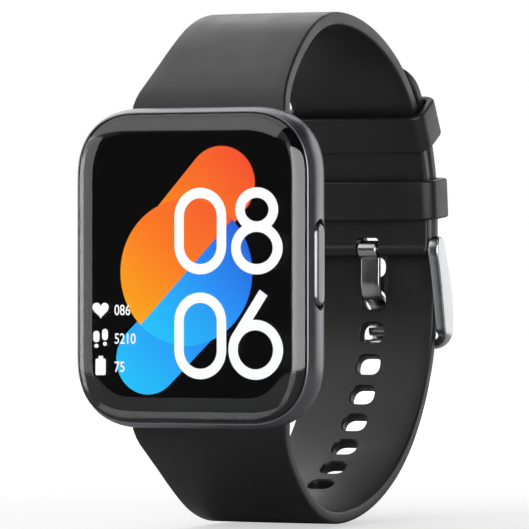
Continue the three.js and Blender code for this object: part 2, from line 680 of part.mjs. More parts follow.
// A keeper is a closed band swept round the centre of the strap's back arc, so it can travel along it.
// Its two ends are cut parallel, square to the strap at its middle.
function keeper(angle) {
  const inner = UPPER_BACK_RADIUS - KEEPER_GAP;
  const outer = UPPER_BACK_RADIUS + UPPER_THICKNESS + LAYER_GAP + LOWER_THICKNESS + KEEPER_GAP;
  const middle = (inner + outer) / 2;
  const half = STRAP_WIDTH / 2 + KEEPER_GAP;
  const sweep = 22;
  const steps = 4;
  const band = (wall, corner) => {
    const rings = [];
    for (let i = 0; i <= steps; i++) {
      const turn = radians((i / steps - 0.5) * sweep);
      const outline = roundedOutline(half + wall, (outer - inner) / 2 + wall, corner, 3);
      rings.push(outline.map(([x, r]) => {
        return new THREE.Vector3(x, (middle + r) * Math.cos(turn), (middle + r) * Math.sin(turn));
      }));
    }
    return loft(rings);
  };
  const slice = block(40, 20, KEEPER_LENGTH, 0, middle, 0);
  const ring = band(KEEPER_WALL, 2.0).intersect(slice).subtract(band(0, 0.9));
  return ring.rotate([angle, 0, 0]).translate([0, ARC_CENTRE_DEPTH, UPPER_ARC_END]);
}

function barTube(z) {
  const tube = rod('x', BAR_RADIUS, -BAR_TUBE_HALF, BAR_TUBE_HALF, BAR_DEPTH, z, 16);
  const bore = rod('x', 0.52, -BAR_TUBE_HALF - 1, BAR_TUBE_HALF + 1, BAR_DEPTH, z, 16);
  return tube.subtract(bore).subtract(block(2.4, 2, 0.84, KNOB_X - 0.6, BAR_DEPTH + 1, z));
}

function releaseTip(z) {
  const shank = rod('x', TIP_RADIUS, KNOB_X - 1, TIP_REACH, BAR_DEPTH, z, 12);
  const lever = rod('y', 0.3, BAR_DEPTH, BAR_DEPTH + 2.1, KNOB_X, z, 12);
  return shank.add(lever).add(rod('y', 0.5, BAR_DEPTH + 1.6, BAR_DEPTH + 2.5, KNOB_X, z, 12));
}

function barSpring(z) {
  const turns = 9;
  const length = KNOB_X - 3.2 + 9.0;
  const points = [];
  for (let i = 0; i <= turns * 8; i++) {
    const turn = (i / 8) * 2 * Math.PI;
    const x = -8.6 + (length * i) / (turns * 8);
    points.push(new THREE.Vector3(x, BAR_DEPTH + 0.36 * Math.cos(turn), z + 0.36 * Math.sin(turn)));
  }
  const wire = new THREE.Shape();
  wire.absarc(0, 0, 0.09, 0, 2 * Math.PI, false);
  const path = new THREE.CatmullRomCurve3(points);
  return toSolid(new THREE.ExtrudeGeometry(wire, { steps: turns * 8, extrudePath: path, curveSegments: 2 }));
}

function buildStrap() {
  addPiece('strap_upper', 'silicone', upperStrap());
  addPiece('strap_lower', 'silicone', lowerStrap());
  addPiece('keeper_fixed', 'silicone', keeper(FIXED_KEEPER_ANGLE));
  addPiece('keeper_free', 'silicone', keeper(FREE_KEEPER_ANGLE));
  for (const [prefix, side] of [['upper', 1], ['lower', -1]]) {
    const z = side * BAR_HEIGHT;
    addPiece(`${prefix}_spring_bar`, 'steel', barTube(z));
    addPiece(`${prefix}_bar_fixed_tip`, 'steel', rod('x', TIP_RADIUS, -TIP_REACH, -9, BAR_DEPTH, z, 12));
    addPiece(`${prefix}_bar_release_tip`, 'steel', releaseTip(z));
    addPiece(`${prefix}_bar_spring`, 'steel', barSpring(z));
  }
}

// Buckle, in depth and Z from the pin. The far bar lies outside the lower strap half.
const FAR_BAR_HEIGHT = PIN_HEIGHT - BAR_DROP;
const FAR_BAR_ARC = LOWER_BACK_RADIUS + LOWER_THICKNESS + 0.4 + FAR_BAR_RADIUS;
const FAR_BAR_DEPTH = LOWER_BACK_DEPTH - LOWER_BACK_RADIUS
  + Math.sqrt(FAR_BAR_ARC ** 2 - (FAR_BAR_HEIGHT + LOWER_ARC_END) ** 2);

// A leaf-shaped side arm: rounded above the pin, bulging outwards, and curling in round the far bar.
function armShape() {
  const [pin, top] = [PIN_DEPTH, PIN_HEIGHT];
  const [bar, foot] = [FAR_BAR_DEPTH, FAR_BAR_HEIGHT];
  const shape = new THREE.Shape();
  shape.moveTo(pin - 1.35, top);
  shape.quadraticCurveTo(pin - 1.2, top + 2.1, pin + 0.2, top + 2.1);
  shape.quadraticCurveTo(pin + 1.3, top + 2.0, pin + 2.3, top - 1.4);
  shape.quadraticCurveTo(bar + 2.1, top - 8.2, bar + 0.9, foot + 1.0);
  shape.quadraticCurveTo(bar + 0.5, foot - 0.8, bar - 0.4, foot - 0.8);
  shape.quadraticCurveTo(bar - 1.5, foot + 0.2, bar - 1.6, foot + 3);
  shape.quadraticCurveTo(pin + 1.2, top - 7.3, pin - 0.7, top - 2.2);
  shape.quadraticCurveTo(pin - 1.4, top - 1.2, pin - 1.35, top);
  return shape;
}

// Two arms and the far bar, with the corners between them rounded, and a blind hole in each arm for the pin.
function buckleFrame() {
  const reach = ARM_INNER_X + 0.8;
  let frame = rod('x', FAR_BAR_RADIUS, -reach, reach, FAR_BAR_DEPTH, FAR_BAR_HEIGHT, 14);
  for (const side of [1, -1]) {
    const [left, right] = side > 0 ? [ARM_INNER_X, ARM_OUTER_X] : [-ARM_OUTER_X, -ARM_INNER_X];
    frame = frame.add(sideSlab(armShape(), left, right));
  }
  const halfHeight = 12;
  const outline = roundedShape(ARM_OUTER_X, halfHeight, BUCKLE_CORNER, 5);
  const bound = plate(outline, PIN_DEPTH - 5, PIN_DEPTH + 5);
  frame = frame.intersect(bound.translate([0, 0, FAR_BAR_HEIGHT - FAR_BAR_RADIUS + halfHeight]));
  const pinReach = ARM_INNER_X + 0.9;
  return frame.subtract(rod('x', PIN_RADIUS + 0.08, -pinReach, pinReach, PIN_DEPTH, PIN_HEIGHT, 16));
}

function bucklePin() {
  const half = ARM_INNER_X + 0.8;
  return rod('x', PIN_RADIUS, -half, half, PIN_DEPTH, PIN_HEIGHT, 16);
}

// The tongue's centre line: down the wrist side, out through its hole, and over the far bar.
function tongueLine() {
  const hole = lowerPath.at(TONGUE_HOLE_S);
  return [
    [PIN_DEPTH + 0.45, PIN_HEIGHT - 0.7],
    [PIN_DEPTH + 0.5, PIN_HEIGHT - 1.7],
    [PIN_DEPTH + 0.5, PIN_HEIGHT - 3.4],
    [PIN_DEPTH + 0.5, PIN_HEIGHT - 5.6],
    [hole.y - 0.5, -hole.z + 0.75],
    [hole.y + 0.6, -hole.z + 0.25],
    [hole.y + 1.7, -hole.z - 0.3],
    [hole.y + 2.75, -hole.z - 1.25],
    [hole.y + 3.3, -hole.z - 3.2],
    [FAR_BAR_DEPTH + FAR_BAR_RADIUS + 0.75, FAR_BAR_HEIGHT + 1.0],
    [FAR_BAR_DEPTH + FAR_BAR_RADIUS + 0.6, FAR_BAR_HEIGHT - 0.7],
  ].map(([y, z]) => new THREE.Vector3(0, y, z));
}

function buckleTongue() {
  const curve = new THREE.CatmullRomCurve3(tongueLine(), false, 'centripetal');
  const steps = 26;
  const rings = [];
  for (let i = 0; i <= steps; i++) {
    const share = i / steps;
    const point = curve.getPointAt(share);
    const tangent = curve.getTangentAt(share);
    const thin = (TONGUE_THICKNESS / 2) * (share > 0.9 ? 0.8 : 1);
    const half = (TONGUE_WIDTH / 2) * (share > 0.9 ? 0.8 : 1);
    const out = new THREE.Vector3(0, -tangent.z, tangent.y).multiplyScalar(thin);
    rings.push([[half, -1], [half, 1], [-half, 1], [-half, -1]].map(
      ([x, side]) => new THREE.Vector3(x, point.y + side * out.y, point.z + side * out.z),
    ));
  }
  const half = TONGUE_WIDTH / 2;
  const knuckle = rod('x', KNUCKLE_RADIUS, -half, half, PIN_DEPTH, PIN_HEIGHT, 20);
  const bore = rod('x', PIN_RADIUS + 0.07, -half - 1, half + 1, PIN_DEPTH, PIN_HEIGHT, 16);
  return loft(rings).add(knuckle).subtract(bore);
}

function buildBuckle() {
  addPiece('buckle_frame', 'steel', buckleFrame());
  addPiece('buckle_pin', 'steel', bucklePin());
  addPiece('buckle_tongue', 'steel', buckleTongue());
}

buildCase();
buildButton();
buildStrap();
buildBuckle();
watch.position.y = -WINDOW_FACE;

export default watch;
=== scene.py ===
"""A rectangular smartwatch with its silicone strap closed into a loop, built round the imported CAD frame.

Shapes are worked out in millimetres, in the frame's axes: -Y out of the display, +Z to twelve o'clock.
"""

import json
import math

import bmesh
import bpy
from mathutils import Matrix, Vector


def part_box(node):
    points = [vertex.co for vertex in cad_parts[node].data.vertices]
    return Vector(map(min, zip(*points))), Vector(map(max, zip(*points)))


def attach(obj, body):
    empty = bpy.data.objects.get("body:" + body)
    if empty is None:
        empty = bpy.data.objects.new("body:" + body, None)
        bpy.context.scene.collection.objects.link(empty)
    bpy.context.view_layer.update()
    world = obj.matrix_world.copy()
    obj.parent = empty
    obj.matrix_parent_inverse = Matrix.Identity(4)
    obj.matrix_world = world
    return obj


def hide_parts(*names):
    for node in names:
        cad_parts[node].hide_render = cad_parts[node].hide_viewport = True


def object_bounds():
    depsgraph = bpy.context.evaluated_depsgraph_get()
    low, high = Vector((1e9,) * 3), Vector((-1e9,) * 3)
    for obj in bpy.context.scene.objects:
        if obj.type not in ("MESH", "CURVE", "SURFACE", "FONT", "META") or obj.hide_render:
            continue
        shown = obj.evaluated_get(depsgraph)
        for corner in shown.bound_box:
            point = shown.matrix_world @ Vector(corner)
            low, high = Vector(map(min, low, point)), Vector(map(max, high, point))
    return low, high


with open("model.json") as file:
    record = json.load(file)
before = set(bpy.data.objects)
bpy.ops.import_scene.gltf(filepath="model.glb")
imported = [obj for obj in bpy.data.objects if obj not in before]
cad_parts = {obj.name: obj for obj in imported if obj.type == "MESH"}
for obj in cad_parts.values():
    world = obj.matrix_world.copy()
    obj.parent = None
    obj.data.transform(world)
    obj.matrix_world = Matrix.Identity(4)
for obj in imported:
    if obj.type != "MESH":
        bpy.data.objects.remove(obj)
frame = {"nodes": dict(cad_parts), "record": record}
CAD_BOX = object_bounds()
MM = 0.001
SUBPARTS = {row["node"]: row["material_slot"] for row in frame["record"]["subparts"]}
JOINTS = {row["name"]: row for row in frame["record"]["behaviour"]["joints"]}


def node_box(node):
    """A CAD node's lowest and highest corner, in millimetres."""
    return [Vector(corner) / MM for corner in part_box(node)]


def joint_place(name):
    """A hinge's Y and Z, in millimetres."""
    return [value / MM for value in JOINTS[name]["pos_m"][1:]]


# ---------------------------------------------------------------- sizes
CASE_HIGH = node_box("case_frame")[1]
GLASS_LOW, GLASS_HIGH = node_box("cover_glass")
BUTTON_LOW, BUTTON_HIGH = node_box("side_button")

# The case side swells from the seam between glass and frame to its widest, and curves in again behind.
BULGE = 0.85
BULGE_DEPTH = 2.6
FRONT_CURVE = (3.2, 2.05)   # the span and drop of the ellipse in front of the widest place
REAR_CURVE = (7.5, 8.5)     # and of the one behind it
SEAM_Y = GLASS_HIGH.y - 0.1
SEAM_X = CASE_HIGH.x - BULGE
SEAM_Z = CASE_HIGH.z - BULGE
SEAM_CORNER = 9.6
CORNER_POWER = 2.4
FRAME_BACK = CASE_HIGH.y - SEAM_Y
LEDGE_DEPTH = 0.45
DISPLAY_POCKET = (16.5, 20.5, 8)   # half width, half height and corner of the cuts in the case
INNER_POCKET = (15.2, 16.4, 5)
SEAL_REBATE = (16.0, 17.2, 5)
RECESS_FRONT = 3.7                 # where the strap's recess starts behind the seam
RECESS_FLOOR = 18.2                # and how far its floor is from the middle

GLASS_EDGE = SEAM_X - GLASS_HIGH.x
GLASS_RIM = 0.1                    # the glass's straight edge, in front of the seam
GLASS_CURVE_WIDTH = 3.6
GLASS_CURVE_POWER = 1.5
GLASS_DOME = SEAM_Y - GLASS_RIM - GLASS_LOW.y

WINDOW_RADIUS = 8.2                # the round sensor window in the back
CONTACT_LOW, CONTACT_HIGH = node_box("charge_contact_right")
CONTACT_X, _, CONTACT_Z = CONTACT_LOW.lerp(CONTACT_HIGH, 0.5)

BAR_Y, BAR_Z = joint_place("upper_strap_pivot")
PIN_Y, PIN_Z = joint_place("buckle_swing")
ARC_Y, ARC_Z = joint_place("free_keeper_travel")

UPPER_THICKNESS = 2.0
LOWER_THICKNESS = 1.8
FRONT_THICKNESS = 1.95
ROOT_THICKNESS = 2.3
ROOT_LENGTH = 8                    # how far the thick root runs
THINNING_LENGTH = 37               # and how far the band takes to thin after it
LAYER_GAP = 0.6                    # between the two layers behind the wrist
ROOT_WIDTH = 25.0
STRAP_WIDTH = 20.5
FLARE_LENGTH = 8.0
FRONT_ARCS = [(4, 32), (50, 15), (20.5, 33)]   # the loop's arcs, as a radius and a sweep in degrees
CROWN = (38.4, 30)
BACK_RADIUS = PIN_Y - UPPER_THICKNESS / 2 - ARC_Y
LOWER_BACK_RADIUS = BACK_RADIUS + (UPPER_THICKNESS + LAYER_GAP) / (1 - math.sin(math.radians(CROWN[1])))
FREE_END_SWEEP = 53                # degrees that the free end goes on past the buckle
TIP_LENGTH = 7.0
HOLE_PITCH = 5.15
HOLES_BEFORE_TONGUE = 7
HOLES_AFTER_TONGUE = 3
HOLE_HALF = (1.95, 1.55)           # half its size across and along the strap
HOLE_CORNER = 1.45
PIN_BORE = 0.7                     # the radius of the buckle pin's bore in the strap

BUTTON_Y = (BUTTON_LOW.y + BUTTON_HIGH.y) / 2
BUTTON_Z = (BUTTON_LOW.z + BUTTON_HIGH.z) / 2
BUTTON_HALF_WIDTH = (BUTTON_HIGH.y - BUTTON_LOW.y) / 2
BUTTON_HALF_LENGTH = (BUTTON_HIGH.z - BUTTON_LOW.z) / 2
BUTTON_BACK = 18.1
BUTTON_FLOOR = 17.55

ARM_INNER = 10.5
ARM_OUTER = 12.15
ARM_TOP = 2.1                      # how far the arms stand above the pin
ARM_ROUNDNESS = 0.3
BAR_DROP = 14.7                    # from the pin down to the far bar
FAR_BAR_RADIUS = 0.8
TONGUE_GAP = 0.5
TONGUE_THICKNESS = 0.8
TONGUE_HALF = 1.55
KNUCKLE_RADIUS = 1.4


# ---------------------------------------------------------------- mesh helpers
def linked(name, data):
    """A new object for a mesh, curve, lamp or camera, linked to the scene."""
    obj = bpy.data.objects.new(name, data)
    bpy.context.scene.collection.objects.link(obj)
    return obj


def evaluated_mesh(obj):
    return bpy.data.meshes.new_from_object(obj.evaluated_get(bpy.context.evaluated_depsgraph_get()))


def raw_object(name, verts, faces):
    mesh = bpy.data.meshes.new(name)
    mesh.from_pydata([tuple(v) for v in verts], [], faces)
    mesh.validate()
    bm = bmesh.new()
    bm.from_mesh(mesh)
    bmesh.ops.recalc_face_normals(bm, faces=bm.faces)
    bm.to_mesh(mesh)
    bm.free()
    return linked(name, mesh)


def loft(name, rings, closed=False):
    """A skin through rings of equally many points, joined end to start or capped."""
    count = len(rings[0])
    verts = [point for ring in rings for point in ring]
    spans = len(rings) if closed else len(rings) - 1
    faces = []
    for i in range(spans):
        here, there = i * count, ((i + 1) % len(rings)) * count
        for j in range(count):
            k = (j + 1) % count
            faces.append((here + j, here + k, there + k, there + j))
    if not closed:
        faces.append(tuple(range(count))[::-1])
        faces.append(tuple(range((len(rings) - 1) * count, len(rings) * count)))
    return raw_object(name, verts, faces)


def joined(name, objects):
    """Several loose objects as one mesh of separate islands."""
    bm = bmesh.new()
    for obj in objects:
        bm.from_mesh(obj.data)
        bpy.data.objects.remove(obj)
    mesh = bpy.data.meshes.new(name)
    bm.to_mesh(mesh)
    bm.free()
    return linked(name, mesh)


def combine(obj, tool, operation):
    """Joins or cuts obj with tool, and drops the tool."""
    modifier = obj.modifiers.new("combine", "BOOLEAN")
    modifier.operation = operation
    modifier.solver = "EXACT"
    modifier.object = tool
    made = evaluated_mesh(obj)
    obj.modifiers.clear()
    obj.data = made
    bpy.data.objects.remove(tool)
    return obj


def cut(obj, tool):
    return combine(obj, tool, "DIFFERENCE")


def add(obj, tool):
    return combine(obj, tool, "UNION")


def finish_piece(obj, surface, body, nodes=(), sharp=32):
    """Scales a piece to metres, shades it, gives it its surface, ties it to its body, and hides the CAD nodes
    it stands in for.
    """
    mesh = obj.data
    mesh.transform(Matrix.Scale(MM, 4))
    bm = bmesh.new()
    bm.from_mesh(mesh)
    bmesh.ops.remove_doubles(bm, verts=bm.verts, dist=2e-7)
    bmesh.ops.dissolve_degenerate(bm, edges=bm.edges, dist=1e-7)
    bmesh.ops.recalc_face_normals(bm, faces=bm.faces)
    bm.to_mesh(mesh)
    bm.free()
    mesh.shade_smooth()
    mesh.set_sharp_from_angle(angle=math.radians(sharp))
    mesh.materials.clear()
    mesh.materials.append(SURFACES[surface])
    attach(obj, body)
    if nodes:
        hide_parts(*nodes)
    return obj


def rounded_outline(half_width, half_height, corner, steps=14, power=CORNER_POWER):
    """A rounded rectangle round the origin, counterclockwise, with superelliptic corners."""
    quarter = []
    for i in range(steps + 1):
        angle = i / steps * math.pi / 2
        across = corner * max(math.cos(angle), 0) ** (2 / power)
        up = corner * math.sin(angle) ** (2 / power)
        quarter.append((half_width - corner + across, half_height - corner + up))
    back = quarter[::-1]
    return (
        quarter
        + [(-a, b) for a, b in back]
        + [(-a, -b) for a, b in quarter]
        + [(a, -b) for a, b in back]
    )


def case_ring(grow, depth, steps=16):
    """The case's seam outline, moved out by grow, at a depth behind the seam."""
    outline = rounded_outline(SEAM_X + grow, SEAM_Z + grow, SEAM_CORNER + grow, steps)
    return [(x, SEAM_Y + depth, z) for x, z in outline]


def plate(outline, near, far, name="plate"):
    """An outline in X and Z between two depths behind the seam."""
    return loft(name, [[(x, SEAM_Y + depth, z) for x, z in outline] for depth in (near, far)])


def box_solid(size, centre):
    sx, sy, sz = (value / 2 for value in size)
    x, y, z = centre
    ring = [(-sx, -sz), (sx, -sz), (sx, sz), (-sx, sz)]
    return loft("box", [[(x + a, y + side, z + b) for a, b in ring] for side in (-sy, sy)])


def rod(axis, rings, a, b, sides=48):
    """A turned solid along X or Y from (position, radius) pairs, at a and b on the other two axes."""
    made = []
    for place, radius in rings:
        ring = []
        for i in range(sides):
            turn = 2 * math.pi * i / sides
            u, v = a + radius * math.cos(turn), b + radius * math.sin(turn)
            ring.append((place, u, v) if axis == "x" else (u, place, v))
        made.append(ring)
    return loft("rod", made)


def lathed(profile, x=0, z=0, sides=32):
    """A solid turned about Y from (depth behind the seam, radius) pairs."""
    return rod("y", [(SEAM_Y + depth, radius) for depth, radius in profile], x, z, sides)


def corners(x, z):
    return [(x, z), (-x, z), (-x, -z), (x, -z)]


def eased(value):
    value = min(max(value, 0), 1)
    return value * value * (3 - 2 * value)


def mixed(a, b, share):
    return a + (b - a) * share


# ---------------------------------------------------------------- materials
def nodes_of(name):
    made = bpy.data.materials.new(name)
    made.use_nodes = True
    tree = made.node_tree
    shader = tree.nodes["Principled BSDF"]
    place = tree.nodes.new("ShaderNodeTexCoord").outputs["Object"]
    return made, tree, shader, place


def stretched(tree, place, scale):
    mapping = tree.nodes.new("ShaderNodeMapping")
    mapping.inputs["Scale"].default_value = scale
    tree.links.new(place, mapping.inputs["Vector"])
    return mapping.outputs["Vector"]


def noise(tree, place, size, detail=3.0):
    """Noise whose features are about size millimetres across."""
    node = tree.nodes.new("ShaderNodeTexNoise")
    node.inputs["Scale"].default_value = 1 / (size * MM)
    node.inputs["Detail"].default_value = detail
    tree.links.new(place, node.inputs["Vector"])
    return node.outputs["Fac"]


def ranged(tree, value, low, high, start=0.3, end=0.7):
    node = tree.nodes.new("ShaderNodeMapRange")
    node.inputs["From Min"].default_value = start
    node.inputs["From Max"].default_value = end
    node.inputs["To Min"].default_value = low
    node.inputs["To Max"].default_value = high
    tree.links.new(value, node.inputs["Value"])
    return node.outputs["Result"]


def ramp(tree, value, stops):
    node = tree.nodes.new("ShaderNodeValToRGB")
    elements = node.color_ramp.elements
    while len(elements) < len(stops):
        elements.new(0.5)
    for element, (place, color) in zip(elements, stops, strict=True):
        element.position = place
        element.color = (*color, 1)
    tree.links.new(value, node.inputs["Fac"])
    return node.outputs["Color"]


def blended(tree, factor, a, b, blend_type="MIX"):
    """A colour mix; the factor and the colours are links or plain values."""
    node = tree.nodes.new("ShaderNodeMix")
    node.data_type = "RGBA"
    node.blend_type = blend_type
    for socket, value in (("Factor", factor), ("A", a), ("B", b)):
        feed(tree, node.inputs[socket], value)
    return node.outputs["Result"]


def worked_out(tree, operation, *values):
    """A math node's result; the values are links or plain numbers."""
    node = tree.nodes.new("ShaderNodeMath")
    node.operation = operation
    for socket, value in zip(node.inputs, values, strict=False):
        feed(tree, socket, value)
    return node.outputs["Value"]


def feed(tree, socket, value):
    if isinstance(value, bpy.types.NodeSocket):
        tree.links.new(value, socket)
    else:
        socket.default_value = value


def bumped(tree, shader, height, depth):
    node = tree.nodes.new("ShaderNodeBump")
    node.inputs["Strength"].default_value = 1.0
    node.inputs["Distance"].default_value = depth * MM
    tree.links.new(height, node.inputs["Height"])
    tree.links.new(node.outputs["Normal"], shader.inputs["Normal"])


def shaded(color, share):
    return tuple(min(1.0, value * share) for value in color)


def surface(name, color, roughness, metallic=0.0, grain=0.12, relief=0.004, mottle=0.12,
            worn=0.0, stretch=None, sockets=None):
    """A finish with fine grain in its relief, soft blotches in colour and gloss, and lighter worn edges.

    The grain's size and relief are in millimetres.
    """
    made, tree, shader, place = nodes_of(name)
    if stretch:
        place = stretched(tree, place, stretch)
    fine = noise(tree, place, grain)
    broad = noise(tree, place, grain * 30, 2.0)
    color_out = ramp(tree, broad, [(0.3, shaded(color, 1 - mottle)), (0.7, shaded(color, 1 + mottle))])
    color_out = blended(tree, mottle, color_out, fine, "OVERLAY")
    if worn:
        geometry = tree.nodes.new("ShaderNodeNewGeometry")
        edge = ranged(tree, geometry.outputs["Pointiness"], 0.0, worn, 0.52, 0.6)
        color_out = blended(tree, edge, color_out, (*shaded(color, 2.6), 1))
    tree.links.new(color_out, shader.inputs["Base Color"])
    spread = 0.4 * mottle
    tree.links.new(ranged(tree, broad, roughness - spread, roughness + spread), shader.inputs["Roughness"])
    shader.inputs["Metallic"].default_value = metallic
    bumped(tree, shader, fine, relief)
    for socket, value in (sockets or {}).items():
        shader.inputs[socket].default_value = value
    return made


def glass_surface(name, tint, roughness, ior):
    """Clear glass with the faintest smears in its polish."""
    made, tree, shader, place = nodes_of(name)
    smear = noise(tree, place, 9.0, 4.0)
    tree.links.new(ranged(tree, smear, roughness, roughness + 0.012, 0.55, 0.8), shader.inputs["Roughness"])
    tree.links.new(ramp(tree, smear, [(0.0, tint), (1.0, shaded(tint, 0.97))]), shader.inputs["Base Color"])
    shader.inputs["IOR"].default_value = ior
    shader.inputs["Transmission Weight"].default_value = 1.0
    return made


def glow_surface(name, start, end, stops, strength=1.0):
    """A lit part of the display; its colour runs between two points, in millimetres along X and Z."""
    made, tree, shader, place = nodes_of(name)
    parts = tree.nodes.new("ShaderNodeSeparateXYZ")
    tree.links.new(place, parts.inputs["Vector"])
    run = Vector(end) - Vector(start)
    length = run.length_squared * MM
    terms = []
    for output, component, origin in (("X", run.x, start[0]), ("Z", run.y, start[1])):
        slope = component / length
        terms.append(worked_out(tree, "MULTIPLY_ADD", parts.outputs[output], slope, -origin * slope * MM))
    tree.links.new(ramp(tree, worked_out(tree, "ADD", *terms), stops), shader.inputs["Emission Color"])
    shader.inputs["Emission Strength"].default_value = strength
    shader.inputs["Base Color"].default_value = (0.0, 0.0, 0.0, 1)
    shader.inputs["Roughness"].default_value = 0.5
    return made


# Faces bonded to the underside of the glass have no gloss of their own.
BONDED = {"Specular IOR Level": 0.0}
SURFACES = {
    "silicone": surface("silicone", (0.0092, 0.0092, 0.0105), 0.42, grain=0.16, relief=0.003, mottle=0.1),
    "case_metal": surface("case_metal", (0.20, 0.20, 0.215), 0.33, 0.95, grain=0.10, relief=0.004,
                          mottle=0.04, worn=0.25),
    "button_metal": surface("button_metal", (0.20, 0.20, 0.212), 0.26, 1.0, grain=0.10, relief=0.003,
                            mottle=0.04, worn=0.3),
    "cover_glass": glass_surface("cover_glass", (0.99, 0.99, 0.99), 0.0, 1.7),
    "border_ink": surface("border_ink", (0.002, 0.002, 0.0022), 0.6, grain=0.2, sockets=BONDED),
    "display": surface("display", (0.002, 0.002, 0.0023), 0.6, grain=0.06, relief=0.001, sockets=BONDED),
    "adhesive": surface("adhesive", (0.010, 0.010, 0.010), 0.8, grain=0.3),
    "steel": surface("steel", (0.56, 0.565, 0.58), 0.24, 1.0, grain=0.09, relief=0.003, mottle=0.06),
    "brushed_steel": surface("brushed_steel", (0.50, 0.50, 0.51), 0.25, 1.0, grain=0.1, relief=0.006,
                             stretch=(1, 8, 0.5)),
    "black_plastic": surface("black_plastic", (0.014, 0.014, 0.015), 0.46, grain=0.22, relief=0.008),
    "chassis_plastic": surface("chassis_plastic", (0.03, 0.03, 0.033), 0.6, grain=0.25),
    "circuit_board": surface("circuit_board", (0.010, 0.055, 0.024), 0.42, grain=0.5, relief=0.01,
                             mottle=0.3),
    "flex_film": surface("flex_film", (0.27, 0.085, 0.014), 0.38, grain=0.4, stretch=(6, 1, 1)),
    "tin": surface("tin", (0.45, 0.455, 0.46), 0.36, 0.95, grain=0.3, stretch=(1, 1, 5)),
    "battery_foil": surface("battery_foil", (0.33, 0.34, 0.36), 0.42, 0.7, grain=0.6, relief=0.02),
    "gold": surface("gold", (0.75, 0.47, 0.13), 0.2, 1.0, grain=0.08, relief=0.001, mottle=0.05),
    "magnet": surface("magnet", (0.33, 0.34, 0.35), 0.25, 1.0, grain=0.3),
    "led_lens": surface("led_lens", (0.62, 0.78, 0.52), 0.22, grain=0.3),
    "sensor_glass": glass_surface("sensor_glass", (0.16, 0.17, 0.19), 0.0, 1.52),
}


# ---------------------------------------------------------------- case
def bulge_at(depth):
    """How far the case side stands out past the seam at a depth."""
    span, drop = FRONT_CURVE if depth < BULGE_DEPTH else REAR_CURVE
    return BULGE - drop * (1 - math.sqrt(1 - ((depth - BULGE_DEPTH) / span) ** 2))


def strap_recess(side):
    """The cut in the case's back edge that takes the strap's root."""
    height, length = 6.0, 8.0
    centre = (0, SEAM_Y + RECESS_FRONT + length / 2, side * (RECESS_FLOOR + height / 2))
    return box_solid((ROOT_WIDTH + 0.6, length, height), centre)


def pill_ring(x, grow):
    """The button's pill outline in Y and Z at one X."""
    half = BUTTON_HALF_WIDTH + grow
    straight = BUTTON_HALF_LENGTH - BUTTON_HALF_WIDTH
    ring = []
    for end in (1, -1):
        for i in range(17):
            turn = math.pi * i / 16 + (0 if end > 0 else math.pi)
            up = end * straight + half * math.sin(turn)
            ring.append((x, BUTTON_Y + half * math.cos(turn), BUTTON_Z + up))
    return ring


def build_frame():
    lip = [(0.0, LEDGE_DEPTH), (0.0, 0.03), (0.03, -0.03), (0.10, -0.05), (0.18, -0.01), (0.27, 0.12)]
    rings = [case_ring(grow, depth) for grow, depth in lip]
    steps = 22
    for i in range(steps + 1):
        depth = mixed(0.5, FRAME_BACK - 0.12, i / steps)
        rings.append(case_ring(bulge_at(depth) + 0.03 * (1 - i / steps), depth))
    rings.append(case_ring(bulge_at(FRAME_BACK) - 0.1, FRAME_BACK))
    shell = loft("case_shell", rings)
    for pocket, near, far in ((DISPLAY_POCKET, 0.0, 3.4), (INNER_POCKET, 2.4, FRAME_BACK + 1),
                              (SEAL_REBATE, FRAME_BACK - 0.9, FRAME_BACK + 1)):
        shell = cut(shell, plate(rounded_outline(*pocket), near, far))
    for side in (1, -1):
        shell = cut(shell, strap_recess(side))
    slot = [(BUTTON_FLOOR, 0.3), (18.3, 0.42), (18.95, 0.45), (19.25, 0.6), (22.0, 1.7)]
    shell = cut(shell, loft("slot", [pill_ring(x, grow) for x, grow in slot]))
    shell = cut(shell, rod("x", [(14.0, 0.95), (18.0, 0.95)], BUTTON_Y, BUTTON_Z))
    finish_piece(shell, "case_metal", "case", ["case_frame"])


def build_glass():
    """The glass, whose edge is a quarter of a superellipse, and the ink border printed behind it."""
    rings = [case_ring(-GLASS_EDGE - 0.1, 0.1), case_ring(-GLASS_EDGE, 0.02)]
    steps = 18
    for i in range(steps + 1):
        angle = i / steps * math.pi / 2
        inset = GLASS_CURVE_WIDTH * (1 - max(math.cos(angle), 0) ** (2 / GLASS_CURVE_POWER))
        rise = GLASS_DOME * math.sin(angle) ** (2 / GLASS_CURVE_POWER)
        rings.append(case_ring(-GLASS_EDGE - inset, -GLASS_RIM - rise))
    rings.append(case_ring(-GLASS_EDGE - GLASS_CURVE_WIDTH - 0.6, -GLASS_RIM - GLASS_DOME))
    finish_piece(loft("lens", rings), "cover_glass", "case", ["cover_glass"])

    window = rounded_outline(16.3, 19.6, 7.4, 16)
    (front_edge, front_window), (back_edge, back_window) = [
        (case_ring(-GLASS_EDGE - 0.1, depth), [(x, SEAM_Y + depth, z) for x, z in window])
        for depth in (0.115, 0.135)
    ]
    border = loft("printed_border", [front_edge, front_window, back_window, back_edge], closed=True)
    finish_piece(border, "border_ink", "case")


